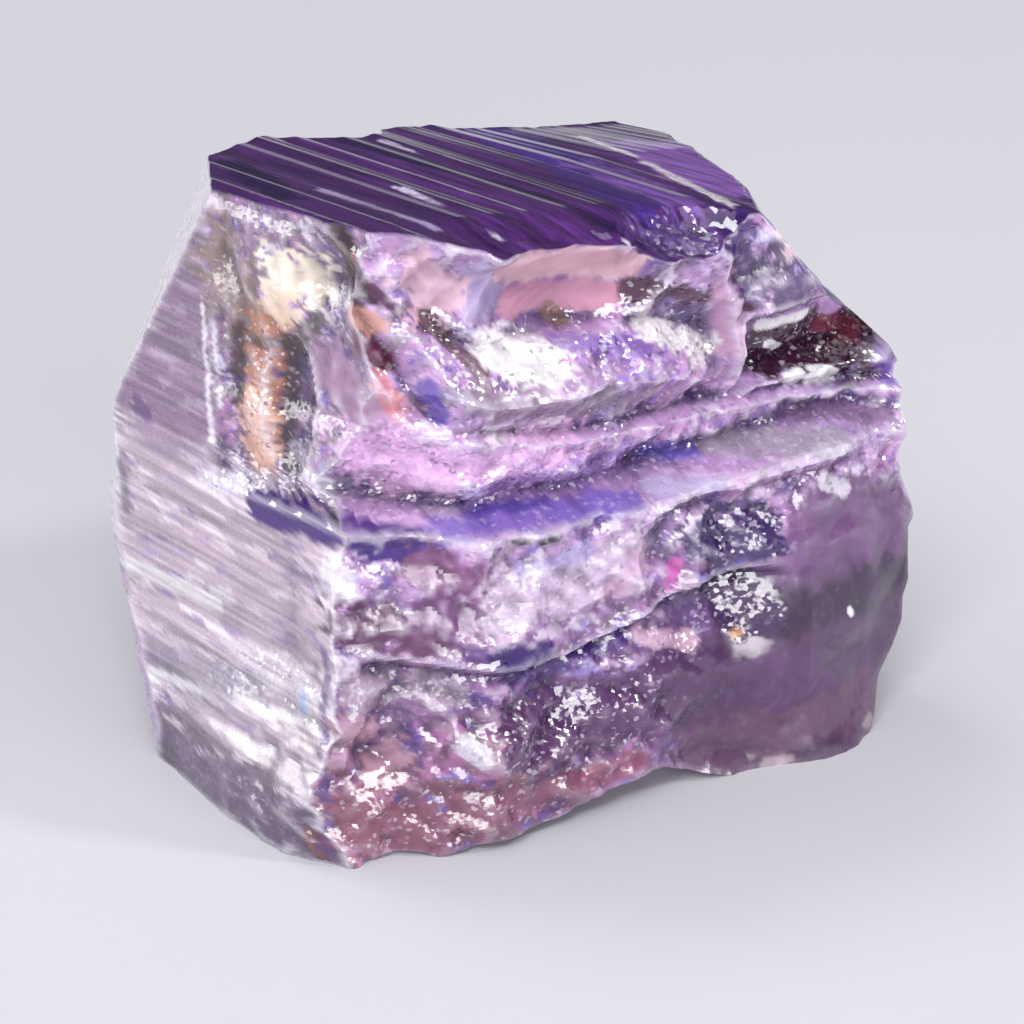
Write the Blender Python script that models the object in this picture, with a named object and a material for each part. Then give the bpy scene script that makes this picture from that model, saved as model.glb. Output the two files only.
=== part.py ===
"""A broken tanzanite crystal: one free piece of blue-violet gem zoisite.

The crystal is a flattened prism that lies on its side. Its zone axis, and with
it every growth striation, runs along Y. The top and the left side are natural
prism faces. The front and the back are fracture surfaces with ledges, scoops
and flat cleavage facets. Lengths are in millimetres until the last step. X runs
along the wide front, Y goes away from it and Z is up, and the design frame has
its zero at the near lower left corner.
"""

from collections import namedtuple

import bpy
import bmesh
import numpy as np

NAME = "tanzanite_crystal"
MM = 0.001

# Driving dimensions of the block.
WIDTH = 21.6
DEPTH = 13.7
HEIGHT = 20.0

# Lattice steps along X, Y and Z, and the share of faces that thinning keeps.
COLUMNS = 76
LAYERS = 26
ROWS = 68
KEPT_SHARE = 0.27
SETTLING_ROUNDS = 10

# The relief of the ends shifts the columns between them less and less, and both
# ends and the top are taken at a point's own depth only close to themselves.
SHIFT_POWER = 4
OWN_DEPTH_POWER = 12
TOP_DEPTH_POWER = 8

# Rows are evenly spaced up to this height, or to this share of a lower top.
LEVEL_ROWS_TO = 11.6
LEVEL_SHARE = 0.9

# A line is a pair of rows: places, and the values there.
# A ledge steps back by its depth within the rise above its lip and comes forward
# again over the fade. An undercut does the same below the band under a lip.
Ledge = namedtuple("Ledge", "lip depth rise fade span")
Undercut = namedtuple("Undercut", "lip depth band fade span")

# A scoop is an elliptical hollow. A rim power of 1 gives a sharp rim and a round
# floor, and a smaller power gives steeper walls and a flatter floor.
Scoop = namedtuple("Scoop", "centre reach turn depth rim")

# A layer of flat facets: typical size, height either way, and the seed.
Facets = namedtuple("Facets", "size height seed")

# The front bows forward: depth of its foremost lips along X.
FRONT_LINE = (
    (-1.5, 0.0, 1.6, 4.0, 9.5, 13.0, 16.0, 19.0, 22.0),
    (1.2, 0.1, -0.5, -1.8, -1.9, -1.5, -1.8, -1.2, -0.2),
)

# Lips across the front, as Z against X.
SHELF_LIP = ((-1.5, 2.0, 4.5, 10.0, 18.0, 22.0), (10.9, 10.4, 10.1, 9.9, 10.1, 9.4))
SPARKLE_LIP = ((2.5, 4.5, 9.0, 11.2, 13.6), (14.9, 14.1, 14.0, 13.6, 12.6))
MIDDLE_LIP = ((1.6, 4.5, 7.5, 12.8, 16.0, 20.0), (13.3, 12.9, 12.2, 11.8, 11.4, 10.9))
LOWER_LIP = ((-1.5, 0.5, 2.3, 4.5, 6.8, 9.8, 13.6, 17.7), (6.6, 7.0, 6.6, 6.1, 6.0, 6.6, 7.1, 6.8))

FRONT_LEDGES = (
    Ledge(SHELF_LIP, 1.7, 0.75, 3.6, (-4.0, 21.0)),
    Ledge(SPARKLE_LIP, 1.5, 1.7, 2.6, (1.8, 14.6)),
    Ledge(MIDDLE_LIP, 0.6, 0.3, 1.4, (3.0, 23.0)),
)
FRONT_UNDERCUTS = (
    Undercut(LOWER_LIP, 0.7, 0.2, 3.0, (0.2, 15.5)),
    Undercut(SHELF_LIP, 0.35, 0.3, 2.2, (9.0, 19.5)),
)
UNDERCUT_STEP = 0.35
SPAN_EDGE = 1.6

# Hollows of the front, centred on X and Z.
UNDER_EDGE_SCOOP = Scoop((7.1, 17.2), (4.0, 1.7), -0.12, 1.2, 0.85)
UPPER_LEFT_SCOOP = Scoop((2.9, 17.9), (1.6, 1.6), 0.0, 0.7, 1.0)
LENS_CHIP = Scoop((4.3, 8.4), (2.2, 1.2), 0.9, 0.45, 1.0)
LOWER_LEFT_CHIP = Scoop((1.6, 3.4), (1.5, 2.3), 0.0, 0.55, 1.0)
RIGHT_CHIP = Scoop((10.8, 7.6), (1.2, 1.6), 0.2, 0.5, 1.0)
FRONT_SCOOPS = (UNDER_EDGE_SCOOP, UPPER_LEFT_SCOOP, LENS_CHIP, LOWER_LEFT_CHIP, RIGHT_CHIP)

# The deep pocket at the upper right, between its walls and between two heights.
POCKET_SPAN = (14.1, 20.3)
POCKET_HEIGHTS = (11.9, 15.0)
POCKET_DEPTH = 1.5
POCKET_WALL = 0.6

# The steep red-brown cleft near the upper left corner, as X against Z.
CLEFT_LINE = ((13.4, 16.6, 19.8), (3.1, 1.5, 0.3))
CLEFT_HALF_WIDTH = 0.8
CLEFT_DEPTH = 0.7

# The curved rib between the middle of the front and the pocket, as X against Z.
RIB_LINE = ((12.2, 14.0, 16.5), (14.1, 13.8, 12.9))
RIB_HALF_WIDTH = 0.55
RIB_HEIGHT = 0.55

# Above the shelf the near left edge is broken away to this depth and width.
CORNER_LOSS = 1.5
CORNER_WIDTH = 3.9

# The glassy lower right swells softly and has a foot that stands forward.
SWELL = Scoop((16.0, 4.4), (5.0, 3.6), 0.0, 0.5, 2.0)
FOOT_SPAN = (14.0, 20.5)
FOOT_HEIGHT = 3.0
FOOT_REACH = 0.8

# Facets of the front: two layers on the rough parts and one everywhere.
FRONT_FACETS = (Facets(2.1, 0.30, 1), Facets(0.95, 0.22, 2))
FRONT_LAYERING = Facets(1.3, 0.10, 3)
LAYERING_STRETCH = 1.7
GLASSY_AREA = Scoop((16.5, 4.0), (6.0, 5.0), 0.0, 1.0, 0.5)
GLASSY_SHARE = 0.85

# The back: two layers of facets, three hollows and a ledge that falls to the right.
BACK_FACETS = (Facets(4.2, 0.35, 4), Facets(1.7, 0.30, 5))
BACK_SCOOPS = (
    Scoop((8.6, 19.0), (1.9, 4.5), 0.0, 1.1, 0.6),
    Scoop((15.6, 11.5), (4.2, 3.2), 0.4, 0.9, 0.7),
    Scoop((7.0, 11.2), (3.0, 2.2), -0.3, 0.6, 0.8),
)
BACK_LIP = ((-1.0, 6.0, 13.0, 23.0), (8.6, 7.6, 6.9, 5.0))
BACK_LEDGE = Ledge(BACK_LIP, 0.9, 0.4, 5.0, (-4.0, 26.0))
BACK_STEP_AT = 9.0
BACK_STEP_LEAN = 0.2
BACK_STEP_DEPTH = 0.5

# Truncating facets as (normal, distance): the pale bevel of the top left back
# edge, the cut behind it, the thin facet of the back left edge and the cut under
# the back.
BACK_BEVELS = (
    ((-0.764, 0.526, 0.374), 10.85),
    ((-0.455, 0.827, 0.331), 14.40),
    ((-0.972, 0.232, -0.02), 2.70),
    ((-0.301, 0.860, -0.41), 8.89),
)

# The top prism face falls a little to the right and away from the front, and its
# front margin drops by a small step that ends in a chip.
TOP_FALL_RIGHT = 0.12
TOP_FALL_BACK = 0.065
TOP_STRIATION_HEIGHT = 0.22
TOP_STRIATION_SPACING = 0.62
TOP_STRIATION_SEED = 11
TOP_MARGIN_SPAN = (2.0, 14.0)
TOP_MARGIN_DEPTHS = (-1.9, 0.9)
TOP_MARGIN_DROP = 0.55
TOP_MARGIN_FADE = 2.4
TOP_CHIP = Scoop((11.4, -1.5), (2.3, 1.7), 0.0, 0.75, 0.6)

# The back right corner of the top face dips: how far, and over which X and Y.
TOP_DIP = 0.45
TOP_DIP_REACH = ((10.0, 18.0), (7.0, 13.0))

# The shoulder to the right of the top face: a steep face that bulges.
SHOULDER_START = 14.8
SHOULDER_HEIGHT = 17.95
SHOULDER_FALL = 1.12
SHOULDER_RUN_BACK = 0.30
SHOULDER_LOW_BULGE = 0.85
SHOULDER_LOW_SPAN = (17.4, 22.5)
SHOULDER_TOP_BULGE = 2.2
SHOULDER_TOP_MIDDLE = 5.5
SHOULDER_TOP_REACH = 6.5
SHOULDER_TOP_HEIGHTS = (15.4, 17.6)
SHOULDER_FACETS = Facets(1.9, 0.20, 6)

# The flat base has its front edge lifted, as Z against X, and chips at its rim.
BASE_FRONT_LIFT = ((2.5, 4.5, 6.5, 8.4, 10.6, 12.2, 13.4), (0.0, 0.4, 0.45, 0.95, 1.05, 0.35, 0.0))
BASE_LIFT_DEPTHS = (-1.2, 0.9)
BASE_CHIPS = (
    Scoop((1.2, -0.9), (1.4, 1.0), 0.0, 0.25, 1.0),
    Scoop((20.4, 6.0), (1.3, 3.5), 0.0, 0.6, 1.0),
    Scoop((12.0, 12.6), (3.2, 1.6), 0.0, 0.5, 1.0),
)

# The left prism face swells at the foot, and is broken near the front above the
# line where the shelf runs on round the corner, as Z against Y.
LEFT_SWELL = 1.2
LEFT_SWELL_HEIGHTS = (0.5, 6.5)
LEFT_EDGE_SWELL = 0.45
LEFT_STRIATION_HEIGHT = 0.16
LEFT_STRIATION_SPACING = 0.8
LEFT_STRIATION_SEED = 12
LEFT_BREAK_LINE = ((0.0, 4.5, 8.0), (10.8, 10.4, 10.0))
LEFT_BREAK_DEPTH = 7.6
LEFT_BREAK_LEAN = 0.15
LEFT_BREAK_FACETS = Facets(1.5, 0.20, 7)
LEFT_SCOOPS = (
    Scoop((2.6, 18.1), (1.5, 1.3), 0.0, 0.45, 1.0),
    Scoop((3.9, 13.4), (1.0, 2.4), 0.0, 0.45, 0.7),
)
LEFT_FOOT_FACETS = Facets(1.2, 0.12, 8)

# The rough right end, as X against Z, leans in towards the back.
RIGHT_LINE = ((0.0, 1.5, 2.8, 4.4, 6.7, 8.6, 10.9), (18.9, 19.8, 21.3, 21.5, 21.6, 20.7, 20.8))
RIGHT_LEAN = 0.05
RIGHT_FACETS = (Facets(2.6, 0.30, 9), Facets(1.1, 0.12, 10))


def ramp(value, start, end):
    """Zero before the start, one past the end, straight between them."""
    return np.clip((value - start) / (end - start), 0.0, 1.0)


def ease(value, start, end):
    """A ramp with soft ends."""
    share = ramp(value, start, end)
    return share * share * (3.0 - 2.0 * share)


def window(value, start, end, edge):
    """One between the start and the end, with ramps of the edge's width."""
    return ramp(value, start, start + edge) * (1.0 - ramp(value, end - edge, end))


def along(line, value):
    """The line's height at the value."""
    return np.interp(value, line[0], line[1])


def chance(column, row, seed):
    """A fixed pseudo-random share between 0 and 1 for each lattice point."""
    return np.modf(np.abs(np.sin(column * 12.9898 + row * 78.233 + seed * 37.719) * 43758.5453))[0]


def faceted(across, up, layer):
    """Height of a layer of flat triangular facets."""
    turn = 0.4 + layer.seed
    warp = 0.35 * layer.size
    first = across + warp * np.sin(up / layer.size * 1.3 + layer.seed * 2.1)
    second = up + warp * np.sin(across / layer.size * 1.1 + layer.seed * 4.7)
    column = (first * np.cos(turn) - second * np.sin(turn)) / layer.size
    row = (first * np.sin(turn) + second * np.cos(turn)) / layer.size
    left, low = np.floor(column), np.floor(row)
    right_share, up_share = column - left, row - low
    corner_a = chance(left, low, layer.seed)
    corner_b = chance(left + 1, low, layer.seed)
    corner_c = chance(left, low + 1, layer.seed)
    corner_d = chance(left + 1, low + 1, layer.seed)
    below = corner_a + right_share * (corner_b - corner_a) + up_share * (corner_c - corner_a)
    above = corner_d + (1 - right_share) * (corner_c - corner_d) + (1 - up_share) * (corner_b - corner_d)
    share = np.where(right_share + up_share < 1.0, below, above)
    return layer.height * (2.0 * share - 1.0)


def striated(across, start, end, spacing, seed):
    """Ridges and grooves with straight flanks at uneven distances, 0 to 1 high."""
    draw = np.random.default_rng(seed)
    count = int((end - start) / spacing)
    gaps = draw.uniform(0.35, 1.65, count)
    places = start + (end - start) * np.cumsum(gaps) / gaps.sum()
    heights = draw.uniform(0.0, 0.45, count)
    heights[::2] += 0.55
    return np.interp(across, places, heights)


def hollow(across, up, scoop):
    """Depth of a scoop."""
    first, second = across - scoop.centre[0], up - scoop.centre[1]
    lengthways = first * np.cos(scoop.turn) + second * np.sin(scoop.turn)
    crossways = second * np.cos(scoop.turn) - first * np.sin(scoop.turn)
    distance = (lengthways / scoop.reach[0]) ** 2 + (crossways / scoop.reach[1]) ** 2
    return scoop.depth * np.clip(1.0 - distance, 0.0, 1.0) ** scoop.rim


def ledge(x, z, step):
    """How far the face steps back above a lip before it comes forward again."""
    above = z - along(step.lip, x)
    inward = ramp(above, 0.0, step.rise) * (1.0 - ramp(above, step.rise, step.rise + step.fade))
    return step.depth * inward * window(x, *step.span, SPAN_EDGE)


def undercut(x, z, step):
    """How far the face steps back below the band that a lip makes."""
    below = along(step.lip, x) - step.band - z
    inward = ramp(below, 0.0, UNDERCUT_STEP) * (1.0 - ramp(below, UNDERCUT_STEP, step.fade))
    return step.depth * inward * window(x, *step.span, SPAN_EDGE)


def near_line(x, z, line, half_width):
    """One on a steep line and zero at half its width to either side."""
    middle = along(line, z)
    ends = window(z, line[0][0] - 0.2, line[0][-1] + 1.0, 0.9)
    return np.clip(1.0 - np.abs(x - middle) / half_width, 0.0, 1.0) * ends


def front_side(x, z):
    """Depth of the wide front fracture: it grows where the surface steps back."""
    y = along(FRONT_LINE, x)
    y = y + sum(ledge(x, z, step) for step in FRONT_LEDGES)
    y = y + sum(undercut(x, z, step) for step in FRONT_UNDERCUTS)
    y = y + sum(hollow(x, z, scoop) for scoop in FRONT_SCOOPS)
    pocket = window(x, *POCKET_SPAN, POCKET_WALL) * window(z, *POCKET_HEIGHTS, POCKET_WALL)
    y = y + POCKET_DEPTH * pocket
    y = y + CLEFT_DEPTH * near_line(x, z, CLEFT_LINE, CLEFT_HALF_WIDTH)
    y = y - RIB_HEIGHT * near_line(x, z, RIB_LINE, RIB_HALF_WIDTH)
    above_shelf = ramp(z - along(SHELF_LIP, x), 0.0, 0.7)
    y = y + CORNER_LOSS * above_shelf * (1.0 - ramp(x, -0.5, CORNER_WIDTH - 0.5))
    y = y - hollow(x, z, SWELL)
    y = y - FOOT_REACH * window(x, *FOOT_SPAN, 2.5) * (1.0 - ramp(z, 0.4, FOOT_HEIGHT))
    under_edge = hollow(x, z, UNDER_EDGE_SCOOP) / UNDER_EDGE_SCOOP.depth
    glassy = np.maximum(np.maximum(under_edge, hollow(x, z, GLASSY_AREA)), pocket)
    rough = 1.0 - GLASSY_SHARE * glassy
    y = y + rough * sum(faceted(x, z, layer) for layer in FRONT_FACETS)
    return y + faceted(x, LAYERING_STRETCH * z, FRONT_LAYERING)


def back_side(x, z):
    """Depth of the back fracture, cut by the truncating facets."""
    y = DEPTH + sum(faceted(x, z, layer) for layer in BACK_FACETS)
    y = y - sum(hollow(x, z, scoop) for scoop in BACK_SCOOPS)
    y = y - ledge(x, z, BACK_LEDGE)
    y = y - BACK_STEP_DEPTH * ramp(x - BACK_STEP_LEAN * z, BACK_STEP_AT, BACK_STEP_AT + 0.5)
    for normal, distance in BACK_BEVELS:
        y = np.minimum(y, (distance - normal[0] * x - normal[2] * z) / normal[1])
    return y


def shoulder_height(x, y):
    """Height of the steep face to the right of the top."""
    z = SHOULDER_HEIGHT - SHOULDER_FALL * (x - SHOULDER_START) + SHOULDER_RUN_BACK * y
    z = z + SHOULDER_LOW_BULGE * window(x, *SHOULDER_LOW_SPAN, 2.4)
    middle = np.clip(1.0 - ((y - SHOULDER_TOP_MIDDLE) / SHOULDER_TOP_REACH) ** 2, 0.0, 1.0)
    z = z + SHOULDER_TOP_BULGE * middle * ramp(z, *SHOULDER_TOP_HEIGHTS)
    return z + faceted(x, y, SHOULDER_FACETS)


def top_side(x, y):
    """Height of the striated top face, its chips and the shoulder on its right."""
    z = HEIGHT - TOP_FALL_RIGHT * x - TOP_FALL_BACK * y
    relief = striated(x, -1.0, 15.5, TOP_STRIATION_SPACING, TOP_STRIATION_SEED)
    z = z - TOP_STRIATION_HEIGHT * relief
    margin = window(x, *TOP_MARGIN_SPAN, TOP_MARGIN_FADE) * (1.0 - ramp(y, *TOP_MARGIN_DEPTHS))
    z = z - TOP_MARGIN_DROP * margin - hollow(x, y, TOP_CHIP)
    across, deep = TOP_DIP_REACH
    z = z - TOP_DIP * ramp(x, *across) * ramp(y, *deep)
    return np.minimum(z, shoulder_height(x, y))


def under_side(x, y):
    """The flat base at zero height, with its lifted front edge and its chips."""
    z = along(BASE_FRONT_LIFT, x) * (1.0 - ease(y, *BASE_LIFT_DEPTHS))
    return z + sum(hollow(x, y, chip) for chip in BASE_CHIPS)


def left_side(y, z):
    """The striated left face, with its swollen foot and its broken front part."""
    swell = (1.0 - ease(z, *LEFT_SWELL_HEIGHTS)) * (0.2 + 0.8 * ease(y, -0.4, 2.2))
    x = -LEFT_SWELL * swell * (1.0 - 0.55 * ramp(y, 5.5, 9.5))
    x = x - LEFT_EDGE_SWELL * (1.0 - ramp(y, 0.0, 3.0)) * window(z, 0.6, 10.4, 1.2)
    relief = striated(z, -0.5, 20.5, LEFT_STRIATION_SPACING, LEFT_STRIATION_SEED)
    x = x + LEFT_STRIATION_HEIGHT * relief
    broken = ramp(z - along(LEFT_BREAK_LINE, y), 0.0, 0.5)
    x = x + broken * LEFT_BREAK_LEAN * np.clip(LEFT_BREAK_DEPTH - y, 0.0, LEFT_BREAK_DEPTH)
    rough = broken * (1.0 - ramp(y, LEFT_BREAK_DEPTH - 0.8, LEFT_BREAK_DEPTH))
    x = x + rough * faceted(y, z, LEFT_BREAK_FACETS)
    x = x + sum(hollow(y, z, scoop) for scoop in LEFT_SCOOPS)
    near_foot = (1.0 - ease(z, 2.0, 7.5)) * (1.0 - ease(y, 3.0, 6.0))
    return x + near_foot * faceted(y, z, LEFT_FOOT_FACETS)


def right_side(y, z):
    """The rough right end."""
    x = along(RIGHT_LINE, z) - RIGHT_LEAN * np.clip(y, 0.0, DEPTH)
    coarse, fine = RIGHT_FACETS
    return x + faceted(y, z, coarse) * ramp(y, 0.0, 1.5) + faceted(y, z, fine)


def lattice():
    """A unit cube whose sides are ruled into the lattice's columns, layers and rows."""
    mesh = bmesh.new()
    bmesh.ops.create_cube(mesh, size=1.0)
    bmesh.ops.translate(mesh, vec=(0.5, 0.5, 0.5), verts=mesh.verts)
    for axis, count in enumerate((COLUMNS, LAYERS, ROWS)):
        uncut = [
            edge for edge in mesh.edges
            if abs(edge.verts[0].co[axis] - edge.verts[1].co[axis]) > 0.5
        ]
        bmesh.ops.subdivide_edges(mesh, edges=uncut, cuts=count - 1, use_grid_fill=True)
    return mesh


def rows_on_lips(x, z, spacing):
    """Draw the nearest row of the front onto each lip, so that its edge runs clean."""
    for lip in (SHELF_LIP, SPARKLE_LIP, MIDDLE_LIP, LOWER_LIP):
        above = z - along(lip, x)
        inside = (x > lip[0][0]) & (x < lip[0][-1])
        z = np.where(inside & (np.abs(above) <= spacing / 2.0), z - above, z)
    return z


def columns_on_lines(x, z, spacing):
    """Draw the nearest column of the front onto the cleft, the rib and their edges."""
    for line, half_width in ((CLEFT_LINE, CLEFT_HALF_WIDTH), (RIB_LINE, RIB_HALF_WIDTH)):
        inside = (z > line[0][0]) & (z < line[0][-1])
        for offset in (-half_width, 0.0, half_width):
            beside = x - along(line, z) - offset
            x = np.where(inside & (np.abs(beside) <= spacing / 2.0), x - beside, x)
    return x


def ruled(cube_points, points):
    """Where the rules between the six sides put each point, as seen from where it is."""
    across, deep, up = cube_points.T
    x, y, z = points.T
    plain_near = along(FRONT_LINE, x)
    plain_y = plain_near + (DEPTH - plain_near) * deep
    left_y = plain_y + (y - plain_y) * (1.0 - across) ** OWN_DEPTH_POWER
    left_shift = left_side(left_y, z) * (1.0 - across) ** SHIFT_POWER
    right_y = plain_y + (y - plain_y) * across ** OWN_DEPTH_POWER
    right_shift = (right_side(right_y, z) - WIDTH) * across ** SHIFT_POWER
    near, far = front_side(x, z), back_side(x, z)
    plain_high = top_side(x, plain_y)
    high = plain_high + (top_side(x, y) - plain_high) * up ** TOP_DEPTH_POWER
    low = under_side(x, plain_y)
    on_front = deep * LAYERS < 0.5
    new_x = across * WIDTH + left_shift + right_shift
    new_x = np.where(on_front, columns_on_lines(new_x, z, WIDTH / COLUMNS), new_x)
    new_y = near + (far - near) * deep
    level = np.minimum(LEVEL_ROWS_TO, LEVEL_SHARE * high)
    even_z = up * HEIGHT
    lower_z = low + (level - low) * even_z / level
    upper_z = level + (high - level) * (even_z - level) / (HEIGHT - level)
    new_z = np.where(even_z < level, lower_z, upper_z)
    new_z = np.where(on_front, rows_on_lips(x, new_z, HEIGHT / ROWS), new_z)
    return np.stack((new_x, new_y, new_z), axis=1)


def shape(cube_points):
    """Move the points of the unit cube onto the six sides of the crystal.

    Each side's shape depends on the others, so every round goes half of the way.
    """
    points = cube_points * (WIDTH, DEPTH, HEIGHT)
    for _ in range(SETTLING_ROUNDS):
        points = (points + ruled(cube_points, points)) / 2.0
    return points


def stand_on_base(points):
    """Put the middle of the bounding box's underside at the origin, in metres."""
    low, high = points.min(axis=0), points.max(axis=0)
    foot = np.array(((low[0] + high[0]) / 2.0, (low[1] + high[1]) / 2.0, low[2]))
    return (points - foot) * MM


def zoisite():
    """Violet gem zoisite with a glassy to frosty surface."""
    violet = (0.36, 0.24, 0.56, 1.0)
    material = bpy.data.materials.new("violet zoisite")
    material.use_nodes = True
    shader = material.node_tree.nodes["Principled BSDF"]
    shader.inputs["Base Color"].default_value = violet
    shader.inputs["Roughness"].default_value = 0.2
    shader.inputs["Metallic"].default_value = 0.0
    material.diffuse_color = violet
    return material


def make_crystal(collection):
    """Build the one solid, thin out its flat areas and put it in the collection."""
    mesh = lattice()
    cube_points = np.array([vertex.co for vertex in mesh.verts])
    points = stand_on_base(shape(cube_points))
    for vertex, point in zip(mesh.verts, points):
        vertex.co = point
    data = bpy.data.meshes.new(NAME)
    mesh.to_mesh(data)
    mesh.free()
    data.materials.append(zoisite())
    crystal = bpy.data.objects.new(NAME, data)
    collection.objects.link(crystal)
    thin = crystal.modifiers.new("thin out flat areas", "DECIMATE")
    thin.ratio = KEPT_SHARE
    thin.use_collapse_triangulate = True
    return crystal


def main():
    for item in list(bpy.data.objects):
        bpy.data.objects.remove(item)
    collection = bpy.data.collections.new("Tanzanite crystal")
    bpy.context.scene.collection.children.link(collection)
    make_crystal(collection)


main()
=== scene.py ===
# %% [markdown]
# # A tanzanite crystal
#
# Tanzanite is the violet-blue gem form of the mineral zoisite. This piece is a
# broken crystal, about 23 mm wide. It grew as one prism, so it is one solid, but
# its skin tells two stories. The top and the left side are faces that grew, with
# fine straight striations that all run along the crystal's long axis. The front,
# the back and the right end are where it broke, with ledges, scoops, flat little
# cleavage steps and glittering grains.
#
# The script loads the plain solid, makes a finer skin for it in the same place,
# and then gives it the look of clear to frosty zoisite.

# %% Load the solid
import math
from collections import namedtuple

import bmesh
import bpy
import numpy as np
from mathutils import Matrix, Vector


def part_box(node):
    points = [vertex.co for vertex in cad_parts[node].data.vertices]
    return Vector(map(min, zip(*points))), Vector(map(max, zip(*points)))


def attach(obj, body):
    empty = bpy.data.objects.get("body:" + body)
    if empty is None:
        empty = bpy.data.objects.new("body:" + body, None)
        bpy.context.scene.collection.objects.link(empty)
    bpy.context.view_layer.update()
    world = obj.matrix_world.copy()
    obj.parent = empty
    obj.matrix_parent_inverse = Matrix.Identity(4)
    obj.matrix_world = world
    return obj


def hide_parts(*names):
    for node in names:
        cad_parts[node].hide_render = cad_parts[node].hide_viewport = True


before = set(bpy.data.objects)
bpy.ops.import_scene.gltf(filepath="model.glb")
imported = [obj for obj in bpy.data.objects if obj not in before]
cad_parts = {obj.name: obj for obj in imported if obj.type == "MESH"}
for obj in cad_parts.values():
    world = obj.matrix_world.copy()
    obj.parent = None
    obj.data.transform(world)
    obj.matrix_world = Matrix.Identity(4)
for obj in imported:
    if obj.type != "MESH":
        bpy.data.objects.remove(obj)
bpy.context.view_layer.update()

NODE = "tanzanite_crystal"
MM = 0.001
solid_low, solid_high = (np.array(corner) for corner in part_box(NODE))
print("solid, mm:", np.round((solid_high - solid_low) / MM, 2))

# %% [markdown]
# ## The camera
#
# A small stone is photographed with a long lens from a short distance, so its
# parallel edges stay nearly parallel. The lens could be an orthographic one, but
# the far edges of the real picture do draw together a little, so it is a 180 mm
# lens on a full frame, about 16 cm away. Its azimuth is counted from the front
# and its elevation from the horizon, in degrees. The lamps will be placed by such
# angles too, so one function aims whatever looks at the stone.

# %% Camera
VIEW_AZIMUTH, VIEW_ELEVATION = -36.5, 22.0
VIEW_TARGET = Vector((-0.539, -0.782, 7.532)) * MM
VIEW_DISTANCE = 159.93 * MM
LENS = 180.0
NEAREST, FARTHEST = 0.01, 10.0


def add_object(name, data):
    """A new object in the scene."""
    thing = bpy.data.objects.new(name, data)
    bpy.context.scene.collection.objects.link(thing)
    return thing


def aim(name, data, azimuth, elevation, distance, target):
    """A camera or a lamp that looks at the target from a direction."""
    turn, lift = math.radians(azimuth), math.radians(elevation)
    away = Vector((
        math.sin(turn) * math.cos(lift), -math.cos(turn) * math.cos(lift), math.sin(lift)
    ))
    thing = add_object(name, data)
    thing.location = target + away * distance
    thing.rotation_mode = "QUATERNION"
    thing.rotation_quaternion = (-away).to_track_quat("-Z", "Y")
    return thing


camera_data = bpy.data.cameras.new("camera")
camera_data.lens = LENS
camera_data.clip_start, camera_data.clip_end = NEAREST, FARTHEST
camera = aim("camera", camera_data, VIEW_AZIMUTH, VIEW_ELEVATION, VIEW_DISTANCE, VIEW_TARGET)
bpy.context.scene.camera = camera
print("camera, mm:", [round(value / MM, 1) for value in camera.location])

# %% [markdown]
# ## Floor and light
#
# A gem shows what is around it. A patterned floor would show in every facet, so
# the floor is plain matt paper, and the sky is an even, nearly dark grey. The
# Standard view keeps the violets as strong as the material makes them, and the
# picture is lifted by a quarter of a stop.

# %% Floor and sky
FLOOR_SIZE, FLOOR_COLOUR, FLOOR_ROUGHNESS = 3.0, "A6A5AC", 0.9
SKY_COLOUR, SKY_STRENGTH = "E6E8F0", 0.07
EXPOSURE = 0.25


def linear(code):
    """The linear colour of an sRGB hex code."""
    values = [int(code[place:place + 2], 16) / 255.0 for place in (0, 2, 4)]
    return [
        value / 12.92 if value <= 0.04045 else ((value + 0.055) / 1.055) ** 2.4
        for value in values
    ]


def new_material(name):
    """An empty material, its node tree and its shader."""
    material = bpy.data.materials.new(name)
    material.use_nodes = True
    return material, material.node_tree, material.node_tree.nodes["Principled BSDF"]


floor_mesh = bmesh.new()
bmesh.ops.create_grid(floor_mesh, x_segments=1, y_segments=1, size=FLOOR_SIZE / 2.0)
floor_data = bpy.data.meshes.new("floor")
floor_mesh.to_mesh(floor_data)
floor_mesh.free()
floor = add_object("floor", floor_data)
paper, _, paper_shader = new_material("matt white paper")
paper_shader.inputs["Base Color"].default_value = (*linear(FLOOR_COLOUR), 1.0)
paper_shader.inputs["Roughness"].default_value = FLOOR_ROUGHNESS
floor_data.materials.append(paper)

sky = bpy.data.worlds.new("even grey room")
sky.use_nodes = True
sky_inputs = sky.node_tree.nodes["Background"].inputs
sky_inputs["Color"].default_value = (*linear(SKY_COLOUR), 1.0)
sky_inputs["Strength"].default_value = SKY_STRENGTH
bpy.context.scene.world = sky
bpy.context.scene.view_settings.view_transform = "Standard"
bpy.context.scene.view_settings.exposure = EXPOSURE
print("floor, m:", FLOOR_SIZE)

# %% [markdown]
# Point lamps would give a clear stone hard white dots. Large soft panes give each
# facet either a broad gleam or none, and that is what makes the facets readable.
# A big pane hangs overhead. A low wide one at the left draws the silvery
# striations, and a low one in front lights the break. A fill pane softens the
# shadows, a small lamp on the right strikes the glints, and a pane behind shines
# through the stone. With so few lamps, taking each in turn is quicker than
# sorting them in a light tree.

# %% Lights
LIT_PLACE = Vector((0.0, 0.0, 10.0 * MM))
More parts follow.
